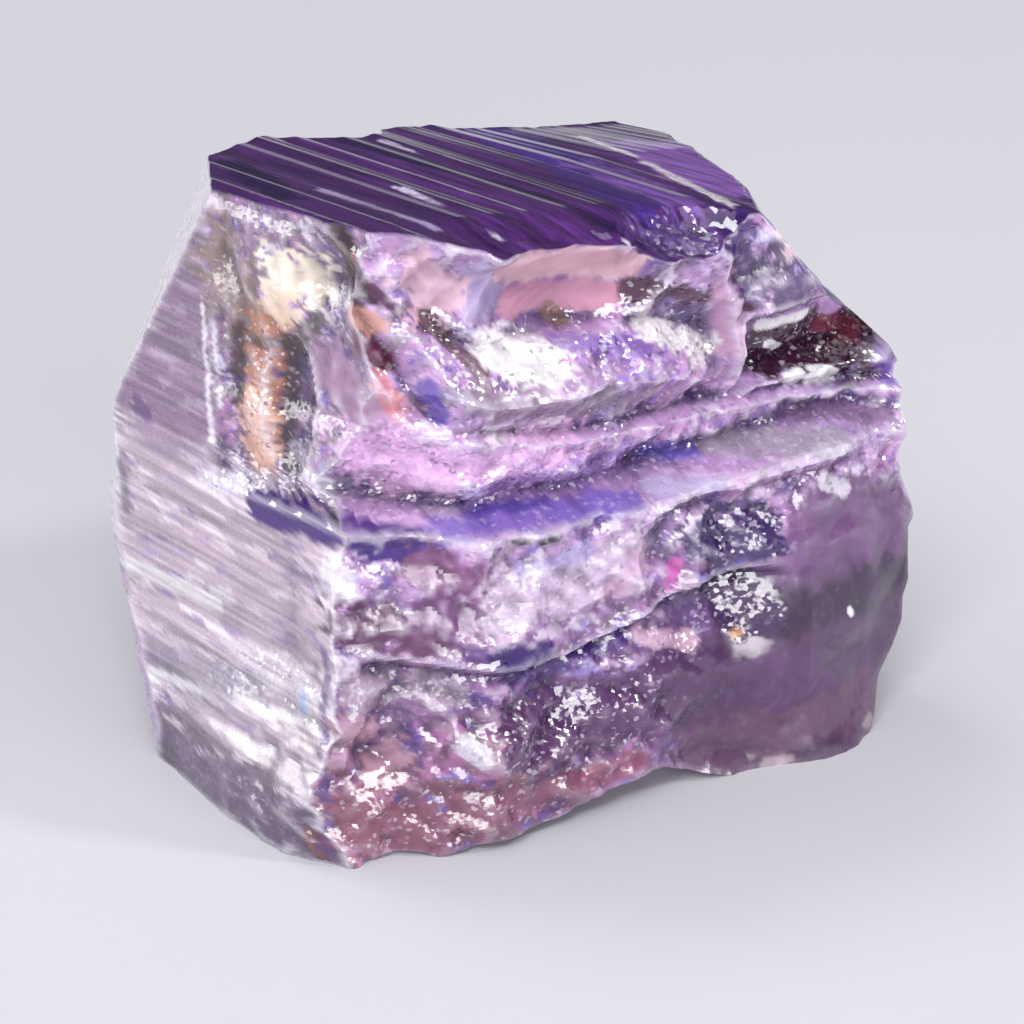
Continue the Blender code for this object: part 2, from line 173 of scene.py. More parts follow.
# Each row: name, azimuth and elevation, distance, width and height in metres, watts
PANES = (
    ("overhead pane", 0.0, 90.0, 1.00, (1.2, 1.2), 4.7),
    ("left pane", -122.0, 11.0, 0.62, (0.80, 0.20), 3.5),
    ("front pane", -12.0, 13.0, 0.62, (0.60, 0.22), 3.9),
    ("fill pane", -44.0, 40.0, 0.60, (0.28, 0.22), 2.8),
    ("glint lamp", 35.0, 44.0, 0.40, (0.05, 0.05), 0.5),
    ("back pane", -170.0, 62.0, 0.50, (0.18, 0.15), 0.65),
)
for name, azimuth, elevation, distance, size, watts in PANES:
    pane = bpy.data.lights.new(name, "AREA")
    pane.shape = "RECTANGLE"
    pane.size, pane.size_y = size
    pane.energy = watts
    aim(name, pane, azimuth, elevation, distance, LIT_PLACE)
bpy.context.scene.cycles.use_light_tree = False
print("lights:", len(PANES))

# %% [markdown]
# ## Small helpers for relief
#
# Every ledge, scoop and striation is a height that is added to a smooth face. The
# relief could be sculpted, or made with stacked displacement modifiers, but then
# the straight lines of a crystal are hard to keep. Here each one is a short
# formula on the millimetre coordinates of the face. A ramp is the base of them
# all, and straight pieces between given places make the breaks look angular.

# %% Ramps and lines
def ramp(value, start, end):
    """Zero before the start, one past the end, straight between them."""
    return np.clip((value - start) / (end - start), 0.0, 1.0)


def ease(value, start, end):
    """A ramp with soft ends."""
    share = ramp(value, start, end)
    return share * share * (3.0 - 2.0 * share)


def fall(value, start, end):
    """One before the start, zero past the end, straight between them."""
    return 1.0 - ramp(value, start, end)


def fade(value, start, end):
    """A fall with soft ends."""
    return 1.0 - ease(value, start, end)


def window(value, start, end, edge):
    """One between the start and the end, with ramps of the edge's width."""
    return ramp(value, start, start + edge) * fall(value, end - edge, end)


def along(line, value):
    """The line's height at the value. A line is a row of places and one of heights."""
    return np.interp(value, line[0], line[1])


print("a ramp from 2 to 4:", ramp(np.array([1.0, 2.5, 5.0]), 2.0, 4.0))

# %% [markdown]
# Broken zoisite shows flat little planes that meet at sharp edges. Smooth noise
# would look like clay. So random heights are set at the points of a slanting
# triangular net, and the surface is stretched straight between them. The same net
# can also give each triangle a tone of its own, which is used for the colour. The
# uneven factors in the net only keep its layers from lining up.

# %% Facets
Facets = namedtuple("Facets", "size height seed")
NET_TURN, NET_WARP = 0.4, 0.35
TONE_SEED, DRAW_SEED = 0.37, 1.61


def chance(column, row, seed):
    """A fixed pseudo-random share between 0 and 1 for each point of the net."""
    # The last digits of a large sine look random, and are the same on every run
    wave = np.sin(column * 12.9898 + row * 78.233 + seed * 37.719)
    return np.modf(np.abs(wave * 43758.5453))[0]


def net_place(across, up, layer):
    """Where points lie on the slanting net: the corner of the cell and the place in it."""
    turn = NET_TURN + layer.seed
    warp = NET_WARP * layer.size
    first = across + warp * np.sin(up / layer.size * 1.3 + layer.seed * 2.1)
    second = up + warp * np.sin(across / layer.size * 1.1 + layer.seed * 4.7)
    column = (first * np.cos(turn) - second * np.sin(turn)) / layer.size
    row = (first * np.sin(turn) + second * np.cos(turn)) / layer.size
    left, low = np.floor(column), np.floor(row)
    return left, low, column - left, row - low


def faceted(across, up, layer):
    """Height of a layer of flat triangular facets."""
    left, low, right_share, up_share = net_place(across, up, layer)
    corner_a, corner_b, corner_c, corner_d = (
        chance(left + right, low + above, layer.seed)
        for right, above in ((0, 0), (1, 0), (0, 1), (1, 1))
    )
    below = corner_a + right_share * (corner_b - corner_a) + up_share * (corner_c - corner_a)
    left_over, low_over = 1 - right_share, 1 - up_share
    above = corner_d + left_over * (corner_c - corner_d) + low_over * (corner_b - corner_d)
    share = np.where(right_share + up_share < 1.0, below, above)
    return layer.height * (2.0 * share - 1.0)


def facet_tone(across, up, layer, draw=0):
    """A tone between -1 and 1 that is the same all over each facet, one for each draw."""
    left, low, right_share, up_share = net_place(across, up, layer)
    upper = np.where(right_share + up_share < 1.0, 0.0, 0.5)
    seed = layer.seed + TONE_SEED + DRAW_SEED * draw
    return 2.0 * chance(left + upper, low - upper, seed) - 1.0


print("height of a facet:", round(float(faceted(3.0, 5.0, Facets(2.0, 1.0, 1))), 3))

# %% [markdown]
# Striations are growth steps: long, straight and parallel, at uneven distances.
# A wave texture would space them evenly, so here the places and heights are drawn
# at random, once, with a fixed seed. Every second one is lifted, so that ridges
# and grooves take turns.

# %% Striations
Striae = namedtuple("Striae", "start end spacing height seed")
UNEVEN_GAPS = (0.35, 1.65)
RIDGE_SPREAD, RIDGE_LIFT = 0.45, 0.55


def striated(across, striae):
    """Ridges and grooves with straight flanks at uneven distances."""
    draw = np.random.default_rng(striae.seed)
    run = striae.end - striae.start
    count = int(run / striae.spacing)
    gaps = draw.uniform(*UNEVEN_GAPS, count)
    places = striae.start + run * np.cumsum(gaps) / gaps.sum()
    heights = draw.uniform(0.0, RIDGE_SPREAD, count)
    heights[::2] += RIDGE_LIFT
    return striae.height * np.interp(across, places, heights)


print("a ridge:", round(float(striated(4.0, Striae(0.0, 9.0, 0.5, 1.0, 1))), 3))

# %% [markdown]
# The larger forms of a break are scoops, ledges and single long lines. A scoop is
# an ellipse that is hollowed out. A ledge steps back above a lip and comes
# forward again higher up, and an undercut does the same below the band that the
# lip makes. A steep line can be a cleft or a rib.

# %% Scoops, ledges and steep lines
Scoop = namedtuple("Scoop", "centre reach turn depth rim")
Ledge = namedtuple("Ledge", "lip depth rise fade span")
Undercut = namedtuple("Undercut", "lip depth band fade span")
UNDERCUT_STEP = 0.35
SPAN_EDGE = 1.6
LINE_BEFORE, LINE_PAST, LINE_EDGE = 0.2, 1.0, 0.9


def hollow(across, up, scoop):
    """Depth of an elliptical scoop. A smaller rim power makes a flatter floor."""
    first, second = across - scoop.centre[0], up - scoop.centre[1]
    lengthways = first * np.cos(scoop.turn) + second * np.sin(scoop.turn)
    crossways = second * np.cos(scoop.turn) - first * np.sin(scoop.turn)
    distance = (lengthways / scoop.reach[0]) ** 2 + (crossways / scoop.reach[1]) ** 2
    return scoop.depth * np.clip(1.0 - distance, 0.0, 1.0) ** scoop.rim


def ledge(x, z, step):
    """How far the face steps back above a lip before it comes forward again."""
    above = z - along(step.lip, x)
    inward = ramp(above, 0.0, step.rise) * fall(above, step.rise, step.rise + step.fade)
    return step.depth * inward * window(x, *step.span, SPAN_EDGE)


def undercut(x, z, step):
    """How far the face steps back below the band that a lip makes."""
    below = along(step.lip, x) - step.band - z
    inward = ramp(below, 0.0, UNDERCUT_STEP) * fall(below, UNDERCUT_STEP, step.fade)
    return step.depth * inward * window(x, *step.span, SPAN_EDGE)


def near_line(x, z, line, half_width):
    """One on a steep line and zero at half its width to either side."""
    ends = window(z, line[0][0] - LINE_BEFORE, line[0][-1] + LINE_PAST, LINE_EDGE)
    return np.clip(1.0 - np.abs(x - along(line, z)) / half_width, 0.0, 1.0) * ends


print("middle of a scoop:", float(hollow(1.0, 1.0, Scoop((1.0, 1.0), (2.0, 2.0), 0.0, 0.5, 1.0))))

# %% [markdown]
# ## The broken front
#
# The front is read from below upwards. A hackly wall rises to a long shelf, the
# crystal steps back on the shelf, and above it come a band, a glittering shelf
# and a smooth scoop under the top edge. Each lip is a named line, so it can be
# moved by itself. All sizes are in millimetres, from the near left corner.

# %% Lips and ledges of the front
WIDTH, DEPTH, HEIGHT = 21.6, 13.7, 20.0

FRONT_LINE = (
    (-1.5, 0.0, 1.6, 4.0, 9.5, 13.0, 16.0, 19.0, 22.0),
    (1.2, 0.1, -0.5, -1.8, -1.9, -1.5, -1.8, -1.2, -0.2),
)
SHELF_LIP = ((-1.5, 2.0, 4.5, 10.0, 18.0, 22.0), (10.9, 10.4, 10.1, 9.9, 10.1, 9.4))
SPARKLE_LIP = ((2.5, 4.5, 9.0, 11.2, 13.6), (14.9, 14.1, 14.0, 13.6, 12.6))
MIDDLE_LIP = ((1.6, 4.5, 7.5, 12.8, 16.0, 20.0), (13.3, 12.9, 12.2, 11.8, 11.4, 10.9))
LOWER_LIP = (
    (-1.5, 0.5, 2.3, 4.5, 6.8, 9.8, 13.6, 17.7),
    (6.6, 7.0, 6.6, 6.1, 6.0, 6.6, 7.1, 6.8),
)
FRONT_LEDGES = (
    Ledge(SHELF_LIP, 1.7, 0.75, 3.6, (-4.0, 21.0)),
    Ledge(SPARKLE_LIP, 1.5, 1.7, 2.6, (1.8, 14.6)),
    Ledge(MIDDLE_LIP, 0.6, 0.3, 1.4, (3.0, 23.0)),
)
FRONT_UNDERCUTS = (
    Undercut(LOWER_LIP, 0.7, 0.2, 3.0, (0.2, 15.5)),
    Undercut(SHELF_LIP, 0.35, 0.3, 2.2, (9.0, 19.5)),
)
print("shelf at the middle:", round(float(along(SHELF_LIP, WIDTH / 2.0)), 2))

# %% [markdown]
# Under the top edge lies a smooth pink scoop, and on the right a deep glossy
# pocket with a rib at its left and a cleft far below it. The lower right swells
# out and is as smooth as glass, which quietens the facets there.

# %% Scoops, pocket, cleft and rib of the front
UNDER_EDGE_SCOOP = Scoop((7.1, 17.2), (4.0, 1.7), -0.12, 1.2, 0.85)
FRONT_SCOOPS = (
    UNDER_EDGE_SCOOP,
    Scoop((2.9, 17.9), (1.6, 1.6), 0.0, 0.7, 1.0),
    Scoop((4.3, 8.4), (2.2, 1.2), 0.9, 0.45, 1.0),
    Scoop((1.6, 3.4), (1.5, 2.3), 0.0, 0.55, 1.0),
    Scoop((10.8, 7.6), (1.2, 1.6), 0.2, 0.5, 1.0),
)
POCKET_SPAN, POCKET_HEIGHTS = (14.1, 20.3), (11.9, 15.0)
POCKET_DEPTH, POCKET_WALL = 1.5, 0.6
CLEFT_LINE = ((13.4, 16.6, 19.8), (3.1, 1.5, 0.3))
CLEFT_HALF_WIDTH, CLEFT_DEPTH = 0.8, 0.7
RIB_LINE = ((12.2, 14.0, 16.5), (14.1, 13.8, 12.9))
RIB_HALF_WIDTH, RIB_HEIGHT = 0.55, 0.55
SWELL = Scoop((16.0, 4.4), (5.0, 3.6), 0.0, 0.5, 2.0)
GLASSY_AREA = Scoop((16.5, 4.0), (6.0, 5.0), 0.0, 1.0, 0.5)


def pocket_share(x, z):
    """One inside the pocket."""
    return window(x, *POCKET_SPAN, POCKET_WALL) * window(z, *POCKET_HEIGHTS, POCKET_WALL)


def scoop_share(x, z):
    """One at the bottom of the scoop under the top edge."""
    return hollow(x, z, UNDER_EDGE_SCOOP) / UNDER_EDGE_SCOOP.depth


def glassy_share(x, z):
    """How smooth the front is: one in the scoop, the pocket and the lower right."""
    smooth = np.maximum(scoop_share(x, z), hollow(x, z, GLASSY_AREA))
    return np.maximum(smooth, pocket_share(x, z))


print("glassy share in the pocket:", float(glassy_share(17.0, 13.5)))

# %% [markdown]
# The front's depth is the sum of all these forms. The coarse facets are those of
# the plain solid. Two finer layers are added here, which are small enough to
# catch single glints, and ripples where the break is smooth.

# %% Front
FRONT_FACETS = (Facets(2.1, 0.30, 1), Facets(0.95, 0.22, 2))
FRONT_FINE_FACETS = (Facets(0.52, 0.10, 21), Facets(0.30, 0.06, 22))
FRONT_LAYERING, LAYERING_STRETCH = Facets(1.3, 0.10, 3), 1.7
CORNER_LOSS, CORNER_SPAN, CORNER_RISE = 1.5, (-0.5, 3.4), 0.7
FOOT_REACH, FOOT_SPAN, FOOT_EDGE, FOOT_HEIGHTS = 0.8, (14.0, 20.5), 2.5, (0.4, 3.0)
GLASSY_SHARE, GRAINLESS_FACTOR = 0.85, 1.3
RIPPLE_SPACING, RIPPLE_HEIGHT, RIPPLE_LEAN = 0.42, 0.022, 0.55
ABOVE_ALL_RIPPLES = 40.0


def front_side(x, z):
    """Depth of the wide front fracture: it grows where the surface steps back."""
    pocket = pocket_share(x, z)
    glassy = glassy_share(x, z)
    y = along(FRONT_LINE, x)
    y = y + sum(ledge(x, z, step) for step in FRONT_LEDGES)
    y = y + sum(undercut(x, z, step) for step in FRONT_UNDERCUTS)
    y = y + sum(hollow(x, z, scoop) for scoop in FRONT_SCOOPS)
    y = y + POCKET_DEPTH * pocket
    y = y + CLEFT_DEPTH * near_line(x, z, CLEFT_LINE, CLEFT_HALF_WIDTH)
    y = y - RIB_HEIGHT * near_line(x, z, RIB_LINE, RIB_HALF_WIDTH)
    above_shelf = ramp(z - along(SHELF_LIP, x), 0.0, CORNER_RISE)
    y = y + CORNER_LOSS * above_shelf * fall(x, *CORNER_SPAN)
    y = y - hollow(x, z, SWELL)
    y = y - FOOT_REACH * window(x, *FOOT_SPAN, FOOT_EDGE) * fall(z, *FOOT_HEIGHTS)
    y = y + (1.0 - GLASSY_SHARE * glassy) * sum(faceted(x, z, layer) for layer in FRONT_FACETS)
    y = y + faceted(x, LAYERING_STRETCH * z, FRONT_LAYERING)
    grainy = np.clip(1.0 - GRAINLESS_FACTOR * glassy, 0.0, 1.0)
    y = y + grainy * sum(faceted(x, z, layer) for layer in FRONT_FINE_FACETS)
    wave_place = (RIPPLE_LEAN * x - z + ABOVE_ALL_RIPPLES) / RIPPLE_SPACING
    wave = np.abs(np.modf(wave_place)[0] - 0.5)
    return y + RIPPLE_HEIGHT * wave * np.maximum(scoop_share(x, z), pocket)


print("front, middle of the scoop:", round(float(front_side(7.1, 17.2)), 2))

# %% [markdown]
# ## The back and the bevels
#
# The back can't be seen in the picture, so it follows the style of the front:
# facets, three scoops, a ledge and a step. A scoop with a perfectly round rim
# would look drilled, so a layer of facets bends them all a little. At its left
# four flat planes cut the corner off. The uppermost is the pale bevel that does
# show.

# %% Back
BACK_FACETS = (Facets(4.2, 0.35, 4), Facets(1.7, 0.30, 5))
BACK_FINE_FACETS = (Facets(0.7, 0.09, 23), Facets(0.38, 0.045, 24))
BACK_BENDS = (Facets(1.9, 0.55, 55), Facets(1.6, 0.45, 56))
BACK_SCOOPS = (
    Scoop((8.6, 19.0), (1.9, 4.5), 0.0, 1.1, 0.6),
    Scoop((15.6, 11.5), (4.2, 3.2), 0.4, 0.9, 0.7),
    Scoop((7.0, 11.2), (3.0, 2.2), -0.3, 0.6, 0.8),
)
BACK_LIP = ((-1.0, 6.0, 13.0, 23.0), (8.6, 7.6, 6.9, 5.0))
BACK_LEDGE = Ledge(BACK_LIP, 0.9, 0.4, 5.0, (-4.0, 26.0))
BACK_STEP, BACK_STEP_LEAN, BACK_STEP_DEPTH = (9.0, 9.5), 0.2, 0.5
BACK_BEVELS = (
    ((-0.764, 0.526, 0.374), 10.85),
    ((-0.455, 0.827, 0.331), 14.40),
    ((-0.972, 0.232, -0.02), 2.70),
    ((-0.301, 0.860, -0.41), 8.89),
)


def back_side(x, z):
    """Depth of the back fracture, cut by the bevels."""
    bent_x, bent_z = (
        value + faceted(x, z, bend) for value, bend in zip((x, z), BACK_BENDS)
    )
    y = DEPTH + sum(faceted(x, z, layer) for layer in BACK_FACETS + BACK_FINE_FACETS)
    y = y - sum(hollow(bent_x, bent_z, scoop) for scoop in BACK_SCOOPS)
    y = y - ledge(x, bent_z, BACK_LEDGE)
    y = y - BACK_STEP_DEPTH * ramp(bent_x - BACK_STEP_LEAN * z, *BACK_STEP)
    for normal, distance in BACK_BEVELS:
        y = np.minimum(y, (distance - normal[0] * x - normal[2] * z) / normal[1])
    return y


print("back, middle of the wide scoop:", round(float(back_side(15.6, 11.5)), 2))

# %% [markdown]
# ## The top, the shoulder and the base
#
# The top is a prism face that grew: almost flat, deep violet and ruled with
# striations from front to back. Coarse ones come from the plain solid and fine
# ones are added. Its front margin is chipped, and on the right it ends in a steep
# shoulder.

# %% Top and shoulder
TOP_FALL_RIGHT, TOP_FALL_BACK = 0.12, 0.065
TOP_STRIAE = (Striae(-1.0, 15.5, 0.62, 0.095, 11), Striae(-1.0, 20.5, 0.27, 0.018, 31))
MARGIN_SPAN, MARGIN_DEPTHS, MARGIN_DROP, MARGIN_EDGE = (2.0, 14.0), (-1.9, 0.9), 0.55, 2.4
TOP_CHIP = Scoop((11.4, -1.5), (2.3, 1.7), 0.0, 0.75, 0.6)
CHIP_FACETS, CHIP_EDGE, MARGIN_ROUGHNESS = Facets(0.55, 0.12, 25), (0.05, 0.5), 0.6
TOP_DIP, DIP_SPAN, DIP_DEPTHS = 0.45, (10.0, 18.0), (7.0, 13.0)
SHOULDER_START, SHOULDER_HEIGHT, SHOULDER_FALL, SHOULDER_RUN_BACK = 14.8, 17.95, 1.12, 0.30
LOW_BULGE, LOW_BULGE_SPAN, LOW_BULGE_EDGE = 0.85, (17.4, 22.5), 2.4
TOP_BULGE, TOP_BULGE_HEIGHTS = 2.2, (15.4, 17.6)
TOP_BULGE_MIDDLE, TOP_BULGE_REACH = 5.5, 6.5
SHOULDER_FACETS = Facets(1.9, 0.20, 6)


def shoulder_height(x, y):
    """Height of the steep face to the right of the top."""
    z = SHOULDER_HEIGHT - SHOULDER_FALL * (x - SHOULDER_START) + SHOULDER_RUN_BACK * y
    z = z + LOW_BULGE * window(x, *LOW_BULGE_SPAN, LOW_BULGE_EDGE)
    middle = np.clip(1.0 - ((y - TOP_BULGE_MIDDLE) / TOP_BULGE_REACH) ** 2, 0.0, 1.0)
    z = z + TOP_BULGE * middle * ramp(z, *TOP_BULGE_HEIGHTS)
    return z + faceted(x, y, SHOULDER_FACETS)


def top_side(x, y):
    """Height of the striated top face, its chips and the shoulder on its right."""
    z = HEIGHT - TOP_FALL_RIGHT * x - TOP_FALL_BACK * y
    z = z - sum(striated(x, striae) for striae in TOP_STRIAE)
    margin = window(x, *MARGIN_SPAN, MARGIN_EDGE) * fall(y, *MARGIN_DEPTHS)
    chip = hollow(x, y, TOP_CHIP)
    z = z - MARGIN_DROP * margin - chip
    z = z + faceted(x, y, CHIP_FACETS) * ramp(chip + MARGIN_ROUGHNESS * margin, *CHIP_EDGE)
    z = z - TOP_DIP * ramp(x, *DIP_SPAN) * ramp(y, *DIP_DEPTHS)
    return np.minimum(z, shoulder_height(x, y))


print("top, at the middle:", round(float(top_side(WIDTH / 2.0, DEPTH / 2.0)), 2))

# %% [markdown]
# The base is flat, so that the crystal lies still. Only its front edge is lifted
# a little, and a few chips are gone from its rim, as on any stone that has been
# handled.

# %% Base
BASE_FRONT_LIFT = (
    (2.5, 4.5, 6.5, 8.4, 10.6, 12.2, 13.4),
    (0.0, 0.4, 0.45, 0.95, 1.05, 0.35, 0.0),
)
BASE_LIFT_DEPTHS = (-1.2, 0.9)
BASE_CHIPS = (
    Scoop((1.2, -0.9), (1.4, 1.0), 0.0, 0.25, 1.0),
    Scoop((20.4, 6.0), (1.3, 3.5), 0.0, 0.6, 1.0),
    Scoop((12.0, 12.6), (3.2, 1.6), 0.0, 0.5, 1.0),
)


def under_side(x, y):
    """The flat base at zero height, with its lifted front edge and its chips."""
    z = along(BASE_FRONT_LIFT, x) * fade(y, *BASE_LIFT_DEPTHS)
    return z + sum(hollow(x, y, chip) for chip in BASE_CHIPS)


print("base, at the middle:", float(under_side(WIDTH / 2.0, DEPTH / 2.0)))

# %% [markdown]
# ## The two ends
#
# The left end is the second prism face. It is silvery because its striations are finer and closer.
# Its foot is swollen, also along the upright edge (the arris) that it shares with the front. Near
# the front and above the shelf it is broken away, which is where the brown column and the painted
# cream highlight sit. The right end is plain fracture.

# %% Left end
LEFT_SWELL, LEFT_SWELL_HEIGHTS = 1.2, (0.5, 6.5)
SWELL_AT_ARRIS, SWELL_NEAR = 0.2, (-0.4, 2.2)
SWELL_LOST_BEHIND, SWELL_FAR = 0.55, (5.5, 9.5)
ARRIS_SWELL, ARRIS_DEPTH, ARRIS_HEIGHTS, ARRIS_EDGE = 0.45, 3.0, (0.6, 10.4), 1.2
LEFT_STRIAE = (Striae(-0.5, 20.5, 0.8, 0.16, 12), Striae(-0.5, 20.5, 0.27, 0.018, 32))
BREAK_LINE = ((0.0, 4.5, 8.0), (10.8, 10.4, 10.0))
BREAK_RISE, BREAK_LEAN, BREAK_DEPTH, BREAK_END = 0.5, 0.15, 7.6, (6.8, 7.6)
BREAK_FACETS = (Facets(1.5, 0.20, 7), Facets(0.5, 0.06, 26))
LEFT_SCOOPS = (
    Scoop((2.6, 18.1), (1.5, 1.3), 0.0, 0.45, 1.0),
    Scoop((3.9, 13.4), (1.0, 2.4), 0.0, 0.45, 0.7),
)
LEFT_FOOT_HEIGHTS, LEFT_FOOT_DEPTHS = (2.0, 7.5), (3.0, 6.0)
LEFT_FOOT_FACETS = (Facets(1.2, 0.12, 8), Facets(0.45, 0.06, 27))


def above_break(y, z):
    """One above the line where the left face starts to be broken."""
    return ramp(z - along(BREAK_LINE, y), 0.0, BREAK_RISE)


def left_side(y, z):
    """The striated left face, with its swollen foot and its broken front part."""
    near = SWELL_AT_ARRIS + (1.0 - SWELL_AT_ARRIS) * ease(y, *SWELL_NEAR)
    swell = fade(z, *LEFT_SWELL_HEIGHTS) * near
    x = -LEFT_SWELL * swell * (1.0 - SWELL_LOST_BEHIND * ramp(y, *SWELL_FAR))
    x = x - ARRIS_SWELL * fall(y, 0.0, ARRIS_DEPTH) * window(z, *ARRIS_HEIGHTS, ARRIS_EDGE)
    broken = above_break(y, z)
    rough = broken * fall(y, *BREAK_END)
    near_foot = fade(z, *LEFT_FOOT_HEIGHTS) * fade(y, *LEFT_FOOT_DEPTHS)
    coarse, fine = LEFT_STRIAE
    x = x + striated(z, coarse) + (1.0 - np.maximum(rough, near_foot)) * striated(z, fine)
    x = x + broken * BREAK_LEAN * np.clip(BREAK_DEPTH - y, 0.0, BREAK_DEPTH)
    x = x + rough * sum(faceted(y, z, layer) for layer in BREAK_FACETS)
    x = x + sum(hollow(y, z, scoop) for scoop in LEFT_SCOOPS)
    return x + near_foot * sum(faceted(y, z, layer) for layer in LEFT_FOOT_FACETS)


print("left end, at the foot:", round(float(left_side(4.0, 1.0)), 2))

# %% [markdown]
# The right end is a rough curve with facets on it. The coarse facets start a
# little behind the front, so that the edge between them keeps its line.

# %% Right end
RIGHT_LINE = (
    (0.0, 1.5, 2.8, 4.4, 6.7, 8.6, 10.9),
    (18.9, 19.8, 21.3, 21.5, 21.6, 20.7, 20.8),
)
RIGHT_LEAN = 0.05
RIGHT_FACETS = (Facets(2.6, 0.30, 9), Facets(1.1, 0.12, 10))
RIGHT_FACETS_FROM = (0.0, 1.5)


def right_side(y, z):
    """The rough right end."""
    x = along(RIGHT_LINE, z) - RIGHT_LEAN * np.clip(y, 0.0, DEPTH)
    coarse, fine = RIGHT_FACETS
    return x + faceted(y, z, coarse) * ramp(y, *RIGHT_FACETS_FROM) + faceted(y, z, fine)


print("right end, at the middle:", round(float(right_side(6.0, 8.0)), 2))

# %% [markdown]
# ## One closed skin
#
# The six sides have to become one closed skin with no seams. They could be built
# as six sheets and stitched, but the stitches would show in a clear stone. So one
# cube is ruled into a fine lattice, which is closed from the start, and each of
# its points is drawn onto the sides. The sides lean on each other, so the points
# settle in a few rounds that each go half of the way. Rows are drawn onto the
# lips and columns onto the cleft and the rib, so that those edges run clean.

# %% Lattice
COLUMNS, LAYERS, ROWS = 190, 52, 160
CLEAN_LIPS = (SHELF_LIP, SPARKLE_LIP, MIDDLE_LIP, LOWER_LIP)
CLEAN_LINES = ((CLEFT_LINE, CLEFT_HALF_WIDTH), (RIB_LINE, RIB_HALF_WIDTH))


def lattice():
    """A unit cube whose sides are ruled into the lattice's columns, layers and rows."""
    mesh = bmesh.new()
    bmesh.ops.create_cube(mesh, size=1.0)
    bmesh.ops.translate(mesh, vec=(0.5, 0.5, 0.5), verts=mesh.verts)
    for axis, count in enumerate((COLUMNS, LAYERS, ROWS)):
        uncut = [
            edge for edge in mesh.edges
            if abs(edge.verts[0].co[axis] - edge.verts[1].co[axis]) > 0.5
        ]
        bmesh.ops.subdivide_edges(mesh, edges=uncut, cuts=count - 1, use_grid_fill=True)
    return mesh


def rows_on_lips(x, z, spacing):
    """Draw the nearest row of the front onto each lip."""
    for lip in CLEAN_LIPS:
        above = z - along(lip, x)
        inside = (x > lip[0][0]) & (x < lip[0][-1])
        z = np.where(inside & (np.abs(above) <= spacing / 2.0), z - above, z)
    return z


def columns_on_lines(x, z, spacing):
    """Draw the nearest column of the front onto the cleft, the rib and their edges."""
    for line, half_width in CLEAN_LINES:
        inside = (z > line[0][0]) & (z < line[0][-1])
        for offset in (-half_width, 0.0, half_width):
            beside = x - along(line, z) - offset
            x = np.where(inside & (np.abs(beside) <= spacing / 2.0), x - beside, x)
    return x


skin = lattice()
cube_points = np.array([vertex.co for vertex in skin.verts])
print("skin:", len(skin.verts), "points,", 2 * len(skin.faces), "triangles")

# %% [markdown]
# A side's own shape only counts near that side, and fades with a power of the
# distance from it. Up to a level line the rows keep an even spacing, and only the
# rows above it follow the sloping top. So the shelf runs straight.

# %% Draw the lattice onto the sides
SETTLING_ROUNDS = 10
SHIFT_POWER, OWN_DEPTH_POWER, TOP_DEPTH_POWER = 4, 12, 8
LEVEL_ROWS_TO, LEVEL_SHARE = 11.6, 0.9


def ruled(cube_points, points):
    """Where the rules between the six sides put each point, as seen from where it is."""
    across, deep, up = cube_points.T
    x, y, z = points.T
    plain_near = along(FRONT_LINE, x)
    plain_y = plain_near + (DEPTH - plain_near) * deep
    left_y = plain_y + (y - plain_y) * (1.0 - across) ** OWN_DEPTH_POWER
    left_shift = left_side(left_y, z) * (1.0 - across) ** SHIFT_POWER
    right_y = plain_y + (y - plain_y) * across ** OWN_DEPTH_POWER
    right_shift = (right_side(right_y, z) - WIDTH) * across ** SHIFT_POWER
    near, far = front_side(x, z), back_side(x, z)
    plain_high = top_side(x, plain_y)
    high = plain_high + (top_side(x, y) - plain_high) * up ** TOP_DEPTH_POWER
    low = under_side(x, plain_y)
    on_front = deep * LAYERS < 0.5
    new_x = across * WIDTH + left_shift + right_shift
    new_x = np.where(on_front, columns_on_lines(new_x, z, WIDTH / COLUMNS), new_x)
    new_y = near + (far - near) * deep
    level = np.minimum(LEVEL_ROWS_TO, LEVEL_SHARE * high)
    even_z = up * HEIGHT
    lower_z = low + (level - low) * even_z / level
    upper_z = level + (high - level) * (even_z - level) / (HEIGHT - level)
    new_z = np.where(even_z < level, lower_z, upper_z)
    new_z = np.where(on_front, rows_on_lips(x, new_z, HEIGHT / ROWS), new_z)
    return np.stack((new_x, new_y, new_z), axis=1)


points = cube_points * (WIDTH, DEPTH, HEIGHT)
for _ in range(SETTLING_ROUNDS):
    points = (points + ruled(cube_points, points)) / 2.0
print("skin reaches, mm:", np.round(points.max(axis=0), 2))

# %% [markdown]
# The finer relief makes the skin a few hundredths of a millimetre larger or
# smaller than the solid. It is stretched by that much, so that it fills exactly
# the solid's box and stands where the solid stands. Broken facets meet at sharp
# edges, while the scoops are smooth like glass, so the whole skin is shaded
# smooth and only edges that turn by more than a set angle are marked sharp.

# %% Fit the skin to the solid
SHARP_ANGLE = math.radians(14.0)

low, high = points.min(axis=0), points.max(axis=0)
placed = solid_low + (points - low) * (solid_high - solid_low) / (high - low)
for vertex, place in zip(skin.verts, placed):
    vertex.co = place
crystal_data = bpy.data.meshes.new("tanzanite")
skin.to_mesh(crystal_data)
skin.free()
crystal_data.shade_smooth()
crystal_data.set_sharp_from_angle(angle=SHARP_ANGLE)
crystal = add_object("tanzanite", crystal_data)
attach(crystal, "root")
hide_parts(NODE)
print("stretch:", np.round((solid_high - solid_low) / (high - low) / MM, 4))

